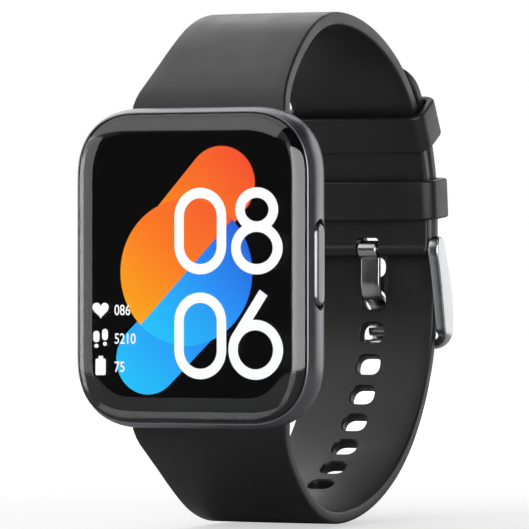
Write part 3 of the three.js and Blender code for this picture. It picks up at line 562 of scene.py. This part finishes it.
def build_back_cover():
    rings = [case_ring(bulge_at(7.3) - 0.12, 7.3), case_ring(bulge_at(7.4), 7.4)]
    rings += [case_ring(bulge_at(depth), depth) for depth in (7.8, 8.2, 8.6, 8.85, 9.0)]
    edge = bulge_at(9.0)
    rings += [case_ring(edge - inset, depth) for inset, depth in ((0.3, 9.12), (0.6, 9.19), (0.9, 9.22))]
    cover = loft("back_shell", rings)
    collar = [(9.0, 11.6), (9.28, 11.35), (9.38, 11.0), (9.50, 9.4), (9.52, 9.2)]
    cover = add(cover, lathed(collar, sides=96))
    seat = WINDOW_RADIUS + 0.12
    cover = cut(cover, lathed([(8.7, seat), (9.44, seat), (9.7, 8.6)], sides=96))
    cover = cut(cover, lathed([(7.0, 7.3), (8.9, 7.3)], sides=64))
    for side in (1, -1):
        cover = cut(cover, strap_recess(side))
        cover = cut(cover, lathed([(7.0, 1.1), (9.12, 1.1), (9.4, 1.4)], side * CONTACT_X, CONTACT_Z))
    for x, z in screw_places():
        cover = cut(cover, lathed([(8.45, 1.3), (9.12, 1.3), (9.4, 1.58)], x, z))
    finish_piece(cover, "black_plastic", "case", ["back_cover"])

    rim = ((8.78, 0.0), (9.40, 0.0), (9.52, 0.08), (9.58, 0.22), (9.6, 0.4))
    window = lathed([(depth, WINDOW_RADIUS - inset) for depth, inset in rim], sides=96)
    window.name = "sensor_lens"
    finish_piece(window, "sensor_glass", "case", ["sensor_window"])


def screw_places():
    low, high = node_box("back_screw_1")
    return corners((low.x + high.x) / 2, (low.z + high.z) / 2)


def build_fasteners():
    for i, (x, z) in enumerate(screw_places(), 1):
        head = [(4.6, 0.45), (8.5, 0.5), (8.5, 1.1), (8.55, 1.15), (8.85, 1.15), (8.96, 1.02), (9.0, 0.85)]
        screw = lathed(head, x, z)
        for size in ((1.3, 0.5, 0.28), (0.28, 0.5, 1.3)):
            screw = cut(screw, box_solid(size, (x, SEAM_Y + 9.0, z)))
        screw.name = f"cover_screw_{i}"
        finish_piece(screw, "steel", "case", [f"back_screw_{i}"])
    for name, side in (("left", -1), ("right", 1)):
        stem = [(7.5, 0.8), (8.7, 0.8), (8.7, 0.95), (8.75, 1.0), (9.28, 1.0), (9.34, 0.94), (9.35, 0.85)]
        contact = lathed(stem, side * CONTACT_X, CONTACT_Z)
        contact.name = f"charge_pad_{name}"
        finish_piece(contact, "gold", "case", [f"charge_contact_{name}"])


def build_button():
    face = BUTTON_HIGH.x
    rings = [(BUTTON_BACK, -0.1), (BUTTON_BACK + 0.1, 0.0), (face - 0.55, -0.05), (face - 0.3, -0.12),
             (face - 0.12, -0.24), (face - 0.03, -0.42), (face, -0.6), (face, -0.9)]
    cap = loft("button_cap", [pill_ring(x, grow) for x, grow in rings])
    foot, groove = BUTTON_LOW.x, (15.85, 16.25)
    stem = [(foot, 0.7), (foot + 0.1, 0.8), (groove[0], 0.8), (groove[0], 0.55), (groove[1], 0.55),
            (groove[1], 0.8), (BUTTON_BACK + 0.3, 0.8)]
    cap = add(cap, rod("x", stem, BUTTON_Y, BUTTON_Z, 32))
    finish_piece(cap, "button_metal", "button", ["side_button"])


# ---------------------------------------------------------------- display
def layer_faces(layer):
    """The front and back of a lit layer: layers stack towards the glass."""
    front = SEAM_Y + 0.19 - layer * 0.012
    return front, front + 0.01


def screen_plate(name, outline, layer, glow):
    """A lit flat shape of the display."""
    finish_lit(loft(name, [[(x, y, z) for x, z in outline] for y in layer_faces(layer)]), glow)


def finish_lit(obj, glow):
    SURFACES[glow] = SURFACES.get(glow) or glow_surface(glow, *GLOWS[glow])
    finish_piece(obj, glow, "case")


def screen_stroke(name, points, width, layer, glow, closed):
    """A line of even width along points on the display."""
    front, back = layer_faces(layer)
    rings = []
    count = len(points)
    for i, (x, z) in enumerate(points):
        before = points[(i - 1) % count] if closed or i else points[i]
        after = points[(i + 1) % count] if closed or i < count - 1 else points[i]
        run = (Vector(after) - Vector(before)).normalized()
        side = Vector((run.y, -run.x)) * width / 2
        rings.append([(x + s * side.x, y, z + s * side.y)
                      for s, y in ((1, front), (-1, front), (-1, back), (1, back))])
    finish_lit(loft(name, rings, closed), glow)


def ellipse_points(x, z, radius_x, radius_z, count=64):
    turns = [2 * math.pi * i / count for i in range(count)]
    return [(x + radius_x * math.cos(t), z + radius_z * math.sin(t)) for t in turns]


def stadium_points(start, end, radius, count=28):
    """The outline of a bar with round ends between two points."""
    start, end = Vector(start), Vector(end)
    heading = math.atan2(end.y - start.y, end.x - start.x)
    points = []
    for centre, turn in ((end, heading - math.pi / 2), (start, heading + math.pi / 2)):
        for i in range(count + 1):
            angle = turn + math.pi * i / count
            points.append((centre.x + radius * math.cos(angle), centre.y + radius * math.sin(angle)))
    return points


def screen_digits(name, text, x, z, size):
    """Small numerals in Blender's own plain font."""
    curve = bpy.data.curves.new(name, "FONT")
    curve.body = text
    curve.size = size
    curve.extrude = 0.005
    curve.offset = 0.02
    holder = linked(name, curve)
    mesh = evaluated_mesh(holder)
    bpy.data.objects.remove(holder)
    upright = Matrix.Translation((x, SEAM_Y + 0.13, z)) @ Matrix.Rotation(math.pi / 2, 4, "X")
    mesh.transform(upright @ Matrix.Diagonal((0.82, 1, 1, 1)))
    finish_lit(linked(name, mesh), "glow_white")


WARM = [(0.0, (1.0, 0.44, 0.0)), (0.5, (1.0, 0.19, 0.006)), (1.0, (0.95, 0.065, 0.02))]
COOL = [(0.0, (0.01, 0.56, 1.0)), (0.5, (0.012, 0.28, 0.95)), (1.0, (0.006, 0.06, 0.62))]
GLOWS = {
    "glow_white": ((0, -20), (0, 20), [(0.0, (0.93, 0.94, 0.95)), (1.0, (1.0, 1.0, 1.0))], 1.2),
    "glow_warm_bar": ((-9.5, 1), (9.5, 17), WARM, 1.12),
    "glow_warm_disc": ((-12, -9), (8, 12), WARM, 1.12),
    "glow_cool_disc": ((-8, -8), (10, 8), COOL, 1.12),
    "glow_cool_bar": ((-11, -17), (8, 2), COOL, 1.12),
}
STROKE = 1.5
DIGIT_HEIGHT = 12.5
ZERO_WIDTH = 8.3
SIX_WIDTH = 8.6
HOURS_Z = 5.35
MINUTES_Z = -9.75
TENS_X = 1.6
STATUS_X = -14.5


def half_disc_points(centre, radius, heading, count=40):
    turns = [heading + math.pi * i / count for i in range(count + 1)]
    return [(centre[0] + radius * math.cos(t), centre[1] + radius * math.sin(t)) for t in turns]


def build_wallpaper():
    """Two slanted bars behind a disc that is warm above the diagonal and cool below it."""
    screen_plate("wallpaper_warm_bar", stadium_points((-4.6, 1.6), (4.9, 12.2), 5.4), 0, "glow_warm_bar")
    screen_plate("wallpaper_cool_bar", stadium_points((-6.9, -13.2), (2.2, -4.4), 5.1), 0, "glow_cool_bar")
    centre, radius, slant = (-0.7, -0.6), 10.6, math.radians(46)
    screen_plate("wallpaper_warm_disc", half_disc_points(centre, radius, slant), 1, "glow_warm_disc")
    other_side = slant + math.pi
    screen_plate("wallpaper_cool_disc", half_disc_points(centre, radius, other_side), 1, "glow_cool_disc")


def build_clock():
    """Hours over minutes in thin round strokes, with zeros drawn as tall bars."""
    half_width, half_height = ZERO_WIDTH / 2 - STROKE / 2, DIGIT_HEIGHT / 2 - STROKE / 2
    for name, z in (("hours", HOURS_Z), ("minutes", MINUTES_Z)):
        straight = half_height - half_width
        outline = stadium_points((TENS_X, z - straight), (TENS_X, z + straight), half_width)
        screen_stroke(f"{name}_zero", outline, STROKE, 3, "glow_white", True)
    upper, lower = half_height * 0.445, half_height * 0.555
    for name, z, radius, layer in (("top", HOURS_Z + half_height - upper, upper, 3),
                                   ("base", HOURS_Z - half_height + lower, lower, 4)):
        outline = ellipse_points(10.6, z, radius * 1.08, radius)
        screen_stroke(f"hours_eight_{name}", outline, STROKE, layer, "glow_white", True)
    bowl = SIX_WIDTH / 2 - STROKE / 2
    centre = (10.4, MINUTES_Z - half_height + bowl)
    screen_stroke("minutes_six_bowl", ellipse_points(*centre, bowl, bowl), STROKE, 3, "glow_white", True)
    lean = [(centre[0] - bowl * 0.9, centre[1] + bowl * 0.44),
            (centre[0] + 1.3, MINUTES_Z + half_height + STROKE / 2)]
    screen_stroke("minutes_six_stem", lean, STROKE, 4, "glow_white", False)


def heart_points(x, z, size):
    points = []
    for i in range(48):
        t = 2 * math.pi * i / 48
        across = 16 * math.sin(t) ** 3
        up = 13 * math.cos(t) - 5 * math.cos(2 * t) - 2 * math.cos(3 * t) - math.cos(4 * t)
        points.append((x + size * across / 16, z + size * up / 16))
    return points


def build_status_icons():
    """A heart, a pair of footprints and a battery, each with its reading."""
    x = STATUS_X
    screen_plate("icon_heart", heart_points(x, -6.0, 1.3), 3, "glow_white")
    for i, (dx, dz) in enumerate(((-0.68, -0.15), (0.68, 0.15))):
        z = -10.1 + dz
        screen_plate(f"icon_step_{i + 1}", stadium_points((x + dx, z - 0.05), (x + dx, z + 0.65), 0.48), 3,
                     "glow_white")
        screen_plate(f"icon_heel_{i + 1}", ellipse_points(x + dx, z - 1.05, 0.32, 0.3, 24), 3, "glow_white")
    cell = [(x + a, -14.35 + b) for a, b in rounded_outline(0.8, 1.2, 0.25, 4)]
    screen_plate("icon_battery", cell, 3, "glow_white")
    cap = [(x + a, -13.0 + b) for a, b in rounded_outline(0.38, 0.25, 0.12, 4)]
    screen_plate("icon_battery_cap", cap, 3, "glow_white")
    for text, z in (("086", -6.8), ("5210", -10.95), ("75", -15.05)):
        screen_digits(f"reading_{text}", text, x + 2.2, z, 2.15)


def build_display():
    rings = []
    for inset, depth in ((0.1, 0.2), (0.0, 0.3), (0.0, 1.1), (0.1, 1.2)):
        outline = rounded_outline(16.2 - inset, 19.8 - inset, 7.6)
        rings.append([(x, SEAM_Y + depth, z) for x, z in outline])
    finish_piece(loft("screen_panel", rings), "display", "case", ["display_panel"])
    build_wallpaper()
    build_clock()
    build_status_icons()


# ---------------------------------------------------------------- strap
class Path:
    """A line in Y and Z of arcs, given as radius and degrees, and straights, given as a length.

    Headings are measured from +Y, and arcs turn towards the wrist.
    """

    def __init__(self, start, heading, legs):
        self.legs = []
        y, z, angle = *start, math.radians(heading)
        for leg in legs:
            radius, length = (leg[0], leg[0] * math.radians(leg[1])) if len(leg) > 1 else (0, leg[0])
            self.legs.append((y, z, angle, radius, length))
            y, z, angle = self.along(self.legs[-1], length)
        self.total = sum(leg[-1] for leg in self.legs)

    @staticmethod
    def along(leg, s):
        y, z, angle, radius, _ = leg
        if not radius:
            return y + s * math.cos(angle), z + s * math.sin(angle), angle
        turned = angle - s / radius
        return (y + radius * (math.sin(angle) - math.sin(turned)),
                z - radius * (math.cos(angle) - math.cos(turned)), turned)

    def at(self, s):
        for leg in self.legs[:-1]:
            if s <= leg[-1]:
                return self.along(leg, s)
            s -= leg[-1]
        return self.along(self.legs[-1], s)

    def start_of(self, number):
        return sum(leg[-1] for leg in self.legs[:number])


CROWN_RADIANS = math.radians(CROWN[1])
CROWN_END = (ARC_Y + BACK_RADIUS * math.sin(CROWN_RADIANS), ARC_Z + BACK_RADIUS * math.cos(CROWN_RADIANS))
LOWER_ARC_Z = CROWN_END[1] - LOWER_BACK_RADIUS * math.cos(CROWN_RADIANS)
LOWER_BACK_Y = PIN_Y + UPPER_THICKNESS / 2 + LAYER_GAP


def strap_start():
    """The path's first point and heading, worked out backwards from the top of the loop."""
    y = CROWN_END[0] - CROWN[0] * math.sin(CROWN_RADIANS)
    z = CROWN_END[1] + CROWN[0] * (1 - math.cos(CROWN_RADIANS))
    heading = 0
    for radius, sweep in FRONT_ARCS[::-1]:
        before = heading + sweep
        y -= radius * (math.sin(math.radians(before)) - math.sin(math.radians(heading)))
        z -= radius * (math.cos(math.radians(heading)) - math.cos(math.radians(before)))
        heading = before
    return (y, z), heading


START, START_HEADING = strap_start()
UPPER = Path(START, START_HEADING, [*FRONT_ARCS, CROWN, (BACK_RADIUS, 60), (ARC_Z - PIN_Z,)])
LOWER = Path(START, START_HEADING, [
    *FRONT_ARCS, CROWN, (LOWER_BACK_RADIUS, 60), (LOWER_ARC_Z + ARC_Z,),
    (BACK_RADIUS + UPPER_THICKNESS + LAYER_GAP, FREE_END_SWEEP),
])
TONGUE_HOLE_S = LOWER.start_of(len(FRONT_ARCS) + 2) - 1.5


def half_width_at(s):
    flare = math.exp(-s / FLARE_LENGTH)
    return (STRAP_WIDTH + (ROOT_WIDTH - STRAP_WIDTH) * flare) / 2


def thickness_at(s, end):
    if s < ROOT_LENGTH:
        return mixed(ROOT_THICKNESS, FRONT_THICKNESS, s / ROOT_LENGTH)
    return mixed(FRONT_THICKNESS, end, eased((s - ROOT_LENGTH) / THINNING_LENGTH))


def strap_section(half, thickness):
    """A band's section: rounded edges, and broad faces that are a touch crowned outside."""
    radius = min(0.42, thickness * 0.3)
    steps, columns = 5, 10
    points = []
    for cx, ct, turn in ((1, 0, -90), (1, 1, 0), (-1, 1, 90), (-1, 0, 180)):
        for i in range(steps + 1):
            angle = math.radians(turn + 90 * i / steps)
            points.append((cx * (half - radius) + radius * math.cos(angle),
                           (radius if ct == 0 else thickness - radius) + radius * math.sin(angle)))
        if turn in (0, 180):
            for k in range(1, columns):
                x = mixed(half - radius, -(half - radius), k / columns) * (1 if ct else -1)
                crown = 0.03 * (1 - (x / half) ** 2)
                points.append((x, thickness + crown if ct else 0.0))
    return points


def strap_ring(y, z, heading, half, thickness, flip):
    out_y, out_z = -math.sin(heading), math.cos(heading)
    return [(x, y + t * out_y, flip * (z + t * out_z)) for x, t in strap_section(half, thickness)]


def strap_rings(path, until, end_thickness, flip):
    """Rings from the spring bar's eye along the path, close enough to look smooth."""
    out_y, out_z = -math.sin(math.radians(START_HEADING)), math.cos(math.radians(START_HEADING))
    root = 2.4
    rings = [strap_ring(BAR_Y - root / 2 * out_y, BAR_Z - root / 2 * out_z, math.radians(START_HEADING),
                        ROOT_WIDTH / 2, root, flip)]
    first, spacing = 0.6, 0.8
    count = round((until - first) / spacing)
    for i in range(count + 1):
        s = first + (until - first) * i / count
        rings.append(strap_ring(*path.at(s), half_width_at(s), thickness_at(s, end_thickness), flip))
    return rings


def with_bar_eye(strap, flip):
    """Adds the spring bar's eye, its bore, and the opening that its release knob slides in."""
    z = flip * BAR_Z
    half = ROOT_WIDTH / 2
    knob = node_box("upper_bar_release_tip")[0].x + 1.3
    ends = [(-half, 1.45), (-half + 0.25, 1.7), (half - 0.25, 1.7), (half, 1.45)]
    strap = add(strap, rod("x", ends, BAR_Y, z))
    strap = cut(strap, rod("x", [(-half - 1, 0.87), (half + 1, 0.87)], BAR_Y, z, 32))
    return cut(strap, box_solid((3.6, 4, 1.3), (knob - 0.9, BAR_Y + 2, z)))


def build_upper_strap():
    strap = loft("band_upper", strap_rings(UPPER, UPPER.total, UPPER_THICKNESS, 1))
    strap = with_bar_eye(strap, 1)
    half = STRAP_WIDTH / 2
    ends = [(-half + 0.3, 0.9), (-half + 0.55, 1.15), (half - 0.55, 1.15), (half - 0.3, 0.9)]
    strap = add(strap, rod("x", ends, PIN_Y, PIN_Z))
    strap = cut(strap, rod("x", [(-half - 1, PIN_BORE), (half + 1, PIN_BORE)], PIN_Y, PIN_Z, 32))
    slot = rounded_outline(1.9, 1.8, 0.6, 6)
    opening = [[(x, y, z + PIN_Z) for x, z in slot] for y in (PIN_Y - 3, PIN_Y + 3)]
    strap = cut(strap, loft("slot", opening))
    finish_piece(strap, "silicone", "upper_strap", ["strap_upper"])


def hole_cutter(s):
    """A pill through the strap with its rims eased on both faces."""
    y, z, heading = LOWER.at(s)
    out_y, out_z = -math.sin(heading), math.cos(heading)
    thickness = thickness_at(s, LOWER_THICKNESS)
    rings = []
    for t, grow in ((-0.8, 0.55), (-0.02, 0.2), (0.08, 0.08), (0.25, 0.0), (thickness - 0.25, -0.03),
                    (thickness - 0.08, 0.03), (thickness + 0.07, 0.15), (thickness + 0.8, 0.5)):
        outline = rounded_outline(HOLE_HALF[0] + grow, HOLE_HALF[1] + grow, HOLE_CORNER + grow, 8)
        rings.append([(a, y + b * math.cos(heading) + t * out_y, -(z + b * math.sin(heading) + t * out_z))
                      for a, b in outline])
    return loft("hole", rings)


def build_lower_strap():
    """The band with the holes, whose tip is rounded by narrowing and thinning the last rings."""
    band_end = LOWER.total - TIP_LENGTH
    rings = strap_rings(LOWER, band_end, LOWER_THICKNESS, -1)
    shares = [0.12, 0.25, 0.38, 0.5, 0.61, 0.7, 0.78, 0.85, 0.9, 0.94, 0.97, 0.99, 1.0]
    for share in shares:
        half = max(1.5, STRAP_WIDTH / 2 * (1 - share ** CORNER_POWER) ** (1 / CORNER_POWER))
        thickness = LOWER_THICKNESS * (1 - 0.45 * share ** 4)
        rings.append(strap_ring(*LOWER.at(band_end + share * TIP_LENGTH), half, thickness, -1))
    strap = with_bar_eye(loft("band_lower", rings), -1)
    places = range(-HOLES_BEFORE_TONGUE, HOLES_AFTER_TONGUE + 1)
    strap = cut(strap, joined("holes", [hole_cutter(TONGUE_HOLE_S + i * HOLE_PITCH) for i in places]))
    finish_piece(strap, "silicone", "lower_strap", ["strap_lower"])


def build_keeper(name, node, body, wall=1.2, gap=0.4):
    """A closed band round both strap layers, with rounded rims, bent to the strap's arc."""
    low, high = node_box(node)
    inner = BACK_RADIUS - gap
    outer = BACK_RADIUS + UPPER_THICKNESS + LAYER_GAP + LOWER_THICKNESS + gap + 0.15
    middle = (inner + outer) / 2
    angle = math.atan2((low.z + high.z) / 2 - ARC_Z, (low.y + high.y) / 2 - ARC_Y)
    length = 6.1
    loop = rounded_outline(STRAP_WIDTH / 2 + gap, (outer - inner) / 2, 0.9, 7, 2.0)
    section = [(wall / 2 + a, b) for a, b in rounded_outline(wall / 2, length / 2, 0.42, 5, 2.0)]
    rings = []
    for i, (x, r) in enumerate(loop):
        before, after = Vector(loop[i - 1]), Vector(loop[(i + 1) % len(loop)])
        run = (after - before).normalized()
        normal = Vector((run.y, -run.x))
        ring = []
        for a, b in section:
            radial = middle + r + a * normal.y - b * b / (2 * middle)
            ring.append((x + a * normal.x, ARC_Y + radial * math.cos(angle) - b * math.sin(angle),
                         ARC_Z + radial * math.sin(angle) + b * math.cos(angle)))
        rings.append(ring)
    finish_piece(loft(name, rings, True), "silicone", body, [node], sharp=60)


# ---------------------------------------------------------------- buckle
FAR_BAR_Z = PIN_Z - BAR_DROP
FAR_BAR_ARC = LOWER_BACK_RADIUS + LOWER_THICKNESS + 0.4 + FAR_BAR_RADIUS
FAR_BAR_Y = LOWER_BACK_Y - LOWER_BACK_RADIUS + math.sqrt(FAR_BAR_ARC ** 2 - (FAR_BAR_Z + LOWER_ARC_Z) ** 2)


def curve_points(start, legs, steps=12):
    """Points along quadratic curves, each given by its control point and end."""
    points = [start]
    for control, end in legs:
        y0, z0 = points[-1]
        for i in range(1, steps + 1):
            t = i / steps
            a, b, c = (1 - t) ** 2, 2 * t * (1 - t), t * t
            points.append((a * y0 + b * control[0] + c * end[0], a * z0 + b * control[1] + c * end[1]))
    return points


def arm_edges():
    """The arm's wrist-side and outer edge in Y and Z, both from the top down."""
    pin, top, bar, foot = PIN_Y, PIN_Z, FAR_BAR_Y, FAR_BAR_Z
    tip = (pin + 0.2, top + ARM_TOP)
    near = curve_points(tip, [
        ((pin - 1.2, top + ARM_TOP), (pin - 1.35, top)),
        ((pin - 1.4, top - 1.2), (pin - 0.8, top - 2.2)),
        ((pin + 0.6, top - 7.3), (bar - 2.1, foot + 3)),
        ((bar - 1.9, foot + 1.2), (bar - FAR_BAR_RADIUS, foot)),
    ])
    far = curve_points(tip, [
        ((pin + 1.3, top + 2.0), (pin + 2.3, top - 1.4)),
        ((bar + 2.1, top - 8.2), (bar + 1.1, foot + 1.6)),
        ((bar + 0.9, foot + 0.6), (bar + FAR_BAR_RADIUS, foot)),
    ])
    return near, far


def edge_at(points, z):
    """The Y of an edge at a height; the points run from the top down."""
    for (y0, z0), (y1, z1) in zip(points, points[1:], strict=False):
        if z0 >= z >= z1:
            return mixed(y0, y1, (z0 - z) / max(z0 - z1, 1e-6))
    return points[-1][0]


def buckle_section(centre, lateral, half, near, far, roundness):
    """A section of the buckle: half is its half size sideways, near and far its edges in Y."""
    middle, depth = (near + far) / 2, max((far - near) / 2, 0.12)
    corner = min(half, depth) * roundness
    ring = []
    for a, b in rounded_outline(half, depth, corner, 6, 2.0):
        ring.append((centre[0] + a * lateral[0], middle + b, centre[1] + a * lateral[1]))
    return ring


def build_buckle_frame():
    """Two arms and the far bar, lofted in one run from one arm's top round to the other's."""
    near, far = arm_edges()
    top = PIN_Z + ARM_TOP
    half_arm = (ARM_OUTER - ARM_INNER) / 2
    centre_x = ARM_OUTER - half_arm
    bend = 1.9
    stations = []
    for share in (0.0, 0.012, 0.035, 0.07, 0.11, 0.16, 0.22, *[0.22 + 0.78 * i / 16 for i in range(1, 17)]):
        z = mixed(top - 0.02, FAR_BAR_Z + bend, share)
        rise = min(1.0, (top - z + 0.05) / 0.5)
        stations.append(((centre_x, z), (1, 0), half_arm * math.sqrt(rise), edge_at(near, z), edge_at(far, z),
                         ARM_ROUNDNESS))
    for i in range(1, 9):
        turn = i / 8 * math.pi / 2
        x = centre_x - bend * (1 - math.cos(turn))
        z = FAR_BAR_Z + bend - bend * math.sin(turn)
        half = mixed(half_arm, FAR_BAR_RADIUS, i / 8)
        clear_of_strap = FAR_BAR_Y - FAR_BAR_RADIUS - 1.2 * (1 - i / 8) ** 4
        stations.append(((x, z), (math.cos(turn), -math.sin(turn)), half,
                         max(edge_at(near, z), clear_of_strap), edge_at(far, z),
                         mixed(ARM_ROUNDNESS, 0.95, i / 8)))
    mirrored = [((-c[0], c[1]), (-lat[0], lat[1]), *rest) for c, lat, *rest in stations[::-1]]
    rings = [buckle_section(*station) for station in stations + mirrored]
    frame_piece = loft("buckle_body", rings)
    reach = ARM_INNER + 0.9
    frame_piece = cut(frame_piece, rod("x", [(-reach, 0.68), (reach, 0.68)], PIN_Y, PIN_Z, 32))
    finish_piece(frame_piece, "steel", "buckle", ["buckle_frame"], sharp=50)


def tongue_points():
    """The tongue's middle line in Y and Z: down from the pin, out through its hole, and over the far bar."""
    y, z, _ = LOWER.at(TONGUE_HOLE_S)
    z = -z
    below_y, below_z, _ = LOWER.at(TONGUE_HOLE_S - HOLE_PITCH)
    outside = LOWER_THICKNESS + TONGUE_THICKNESS / 2 + TONGUE_GAP
    return [
        (PIN_Y + 0.45, PIN_Z - 0.7), (PIN_Y + 0.5, PIN_Z - 1.7), (PIN_Y + 0.5, PIN_Z - 3.4),
        (PIN_Y + 0.5, PIN_Z - 5.6), (y - 0.5, z + 0.75), (y + 0.6, z + 0.25), (y + 1.7, z - 0.35),
        (y + outside - 0.1, z - 1.2), (y + outside + 0.1, z - 2.4), (below_y + outside, -below_z),
        (FAR_BAR_Y - 0.15, FAR_BAR_Z + 2.4), (FAR_BAR_Y + FAR_BAR_RADIUS + 0.45, FAR_BAR_Z + 1.2),
        (FAR_BAR_Y + FAR_BAR_RADIUS + 0.65, FAR_BAR_Z - 0.7),
    ]


def smooth_line(points, steps=6):
    """A Catmull-Rom line through points."""
    points = [Vector(p) for p in points]
    ends = [points[0] * 2 - points[1], *points, points[-1] * 2 - points[-2]]
    line = []
    for a, b, c, d in zip(ends, ends[1:], ends[2:], ends[3:], strict=False):
        for i in range(steps):
            t = i / steps
            line.append(0.5 * (2 * b + (c - a) * t + (2 * a - 5 * b + 4 * c - d) * t * t
                               + (3 * b - a - 3 * c + d) * t * t * t))
    return [*line, points[-1]]


def build_tongue():
    line = smooth_line(tongue_points())
    rings = []
    for i, point in enumerate(line):
        run = (line[min(i + 1, len(line) - 1)] - line[max(i - 1, 0)]).normalized()
        share = i / (len(line) - 1)
        taper = 1.0 if share < 0.93 else 1 - 0.35 * ((share - 0.93) / 0.07) ** 2
        outline = rounded_outline(TONGUE_HALF * taper, TONGUE_THICKNESS / 2 * taper, 0.16, 4, 2.0)
        rings.append([(a, point.x - b * run.y, point.y + b * run.x) for a, b in outline])
    blade = loft("tongue_blade", rings)
    ends = [(-TONGUE_HALF, KNUCKLE_RADIUS - 0.18), (-TONGUE_HALF + 0.18, KNUCKLE_RADIUS),
            (TONGUE_HALF - 0.18, KNUCKLE_RADIUS), (TONGUE_HALF, KNUCKLE_RADIUS - 0.18)]
    blade = add(blade, rod("x", ends, PIN_Y, PIN_Z))
    blade = cut(blade, rod("x", [(-3, 0.67), (3, 0.67)], PIN_Y, PIN_Z, 32))
    finish_piece(blade, "brushed_steel", "tongue", ["buckle_tongue"], sharp=40)


# ---------------------------------------------------------------- kept CAD pieces
def dress_kept_nodes():
    """Gives the CAD pieces that stay, inside the case and strap, their procedural finishes."""
    for node, obj in frame["nodes"].items():
        for material_slot in obj.material_slots:
            material_slot.material = SURFACES[SUBPARTS[node]]


# ---------------------------------------------------------------- stage
CAMERA_PLACE = (0.30905, -0.6377, 0)
CAMERA_AIM = (-0.428, 0.9039, 0.00076)
CAMERA_LENS = 330.1
LIGHT_TARGET = (0, 0.02, 0)
SOFTBOXES = [
    ("top_softbox", (-0.36, -0.36, 0.72), (1.3, 1.1), 5.6),
    ("top_rear_softbox", (-0.30, 0.50, 0.62), (0.9, 0.6), 2.4),
    ("left_softbox", (-0.95, -0.08, 0.02), (1.5, 0.8), 5.0),
    ("right_softbox", (0.685, -0.861, 0.03), (1.45, 0.75), 13.4),
    ("rear_right_softbox", (0.42, 0.80, 0.08), (0.8, 0.9), 3.0),
    ("rear_left_softbox", (-0.50, 0.80, 0.25), (0.7, 0.8), 2.2),
]


def softbox(name, place, size, watts):
    """A rectangular area light at a place in metres, turned to the object's middle."""
    light = bpy.data.lights.new(name, "AREA")
    light.shape = "RECTANGLE"
    light.size, light.size_y = size
    light.energy = watts
    obj = linked(name, light)
    obj.location = place
    obj.rotation_mode = "QUATERNION"
    obj.rotation_quaternion = (Vector(LIGHT_TARGET) - Vector(place)).to_track_quat("-Z", "Y")


def build_camera():
    camera = linked("camera", bpy.data.cameras.new("camera"))
    camera.data.sensor_width = 36
    camera.data.lens = CAMERA_LENS
    camera.data.clip_start = 0.01
    camera.location = CAMERA_PLACE
    camera.rotation_mode = "QUATERNION"
    camera.rotation_quaternion = Vector(CAMERA_AIM).to_track_quat("-Z", "Y")
    bpy.context.scene.camera = camera


def build_floor():
    """A pale floor that fades to the white of the background.

    Only the camera sees the far part, so that it lights nothing and shows in no reflection.
    """
    low = CAD_BOX[0].z - 0.0004
    floor = raw_object("floor", [(x, y, low) for x, y in corners(30.0, 30.0)], [(0, 1, 2, 3)])
    made, tree, shader, place = nodes_of("floor_paper")
    greys = [(0.3, (0.40, 0.40, 0.40)), (0.7, (0.42, 0.42, 0.42))]
    tree.links.new(ramp(tree, noise(tree, place, 40.0), greys), shader.inputs["Base Color"])
    shader.inputs["Roughness"].default_value = 0.9
    distance = tree.nodes.new("ShaderNodeVectorMath")
    distance.operation = "LENGTH"
    tree.links.new(place, distance.inputs[0])
    seen = tree.nodes.new("ShaderNodeLightPath").outputs["Is Camera Ray"]
    fade = ranged(tree, distance.outputs["Value"], 0.55, 1.0, 0.08, 0.6)
    shader.inputs["Emission Color"].default_value = (1, 1, 1, 1)
    tree.links.new(worked_out(tree, "MULTIPLY", fade, seen), shader.inputs["Emission Strength"])
    beyond = worked_out(tree, "SUBTRACT", ranged(tree, distance.outputs["Value"], 0.0, 1.0, 0.2, 0.3), seen)
    beyond.node.use_clamp = True
    clear = tree.nodes.new("ShaderNodeBsdfTransparent")
    table = tree.nodes.new("ShaderNodeMixShader")
    tree.links.new(beyond, table.inputs["Fac"])
    tree.links.new(shader.outputs["BSDF"], table.inputs[1])
    tree.links.new(clear.outputs["BSDF"], table.inputs[2])
    tree.links.new(table.outputs["Shader"], tree.nodes["Material Output"].inputs["Surface"])
    floor.data.materials.append(made)


def build_world():
    """White behind the object, and a dim even fill from all round it."""
    world = bpy.data.worlds.new("studio")
    world.use_nodes = True
    bpy.context.scene.world = world
    tree = world.node_tree
    seen = tree.nodes.new("ShaderNodeLightPath").outputs["Is Camera Ray"]
    fill, white = (0.03, 0.03, 0.032, 1), (1, 1, 1, 1)
    tree.links.new(blended(tree, seen, fill, white), tree.nodes["Background"].inputs["Color"])


def build_stage():
    bpy.context.scene.view_settings.view_transform = "Standard"
    build_floor()
    build_world()
    for row in SOFTBOXES:
        softbox(*row)


# ---------------------------------------------------------------- assembly
build_camera()
build_frame()
build_glass()
build_display()
build_back_cover()
build_fasteners()
build_button()
build_upper_strap()
build_lower_strap()
build_keeper("keeper_band_fixed", "keeper_fixed", "upper_strap")
build_keeper("keeper_band_free", "keeper_free", "free_keeper")
build_buckle_frame()
build_tongue()
dress_kept_nodes()
build_stage()
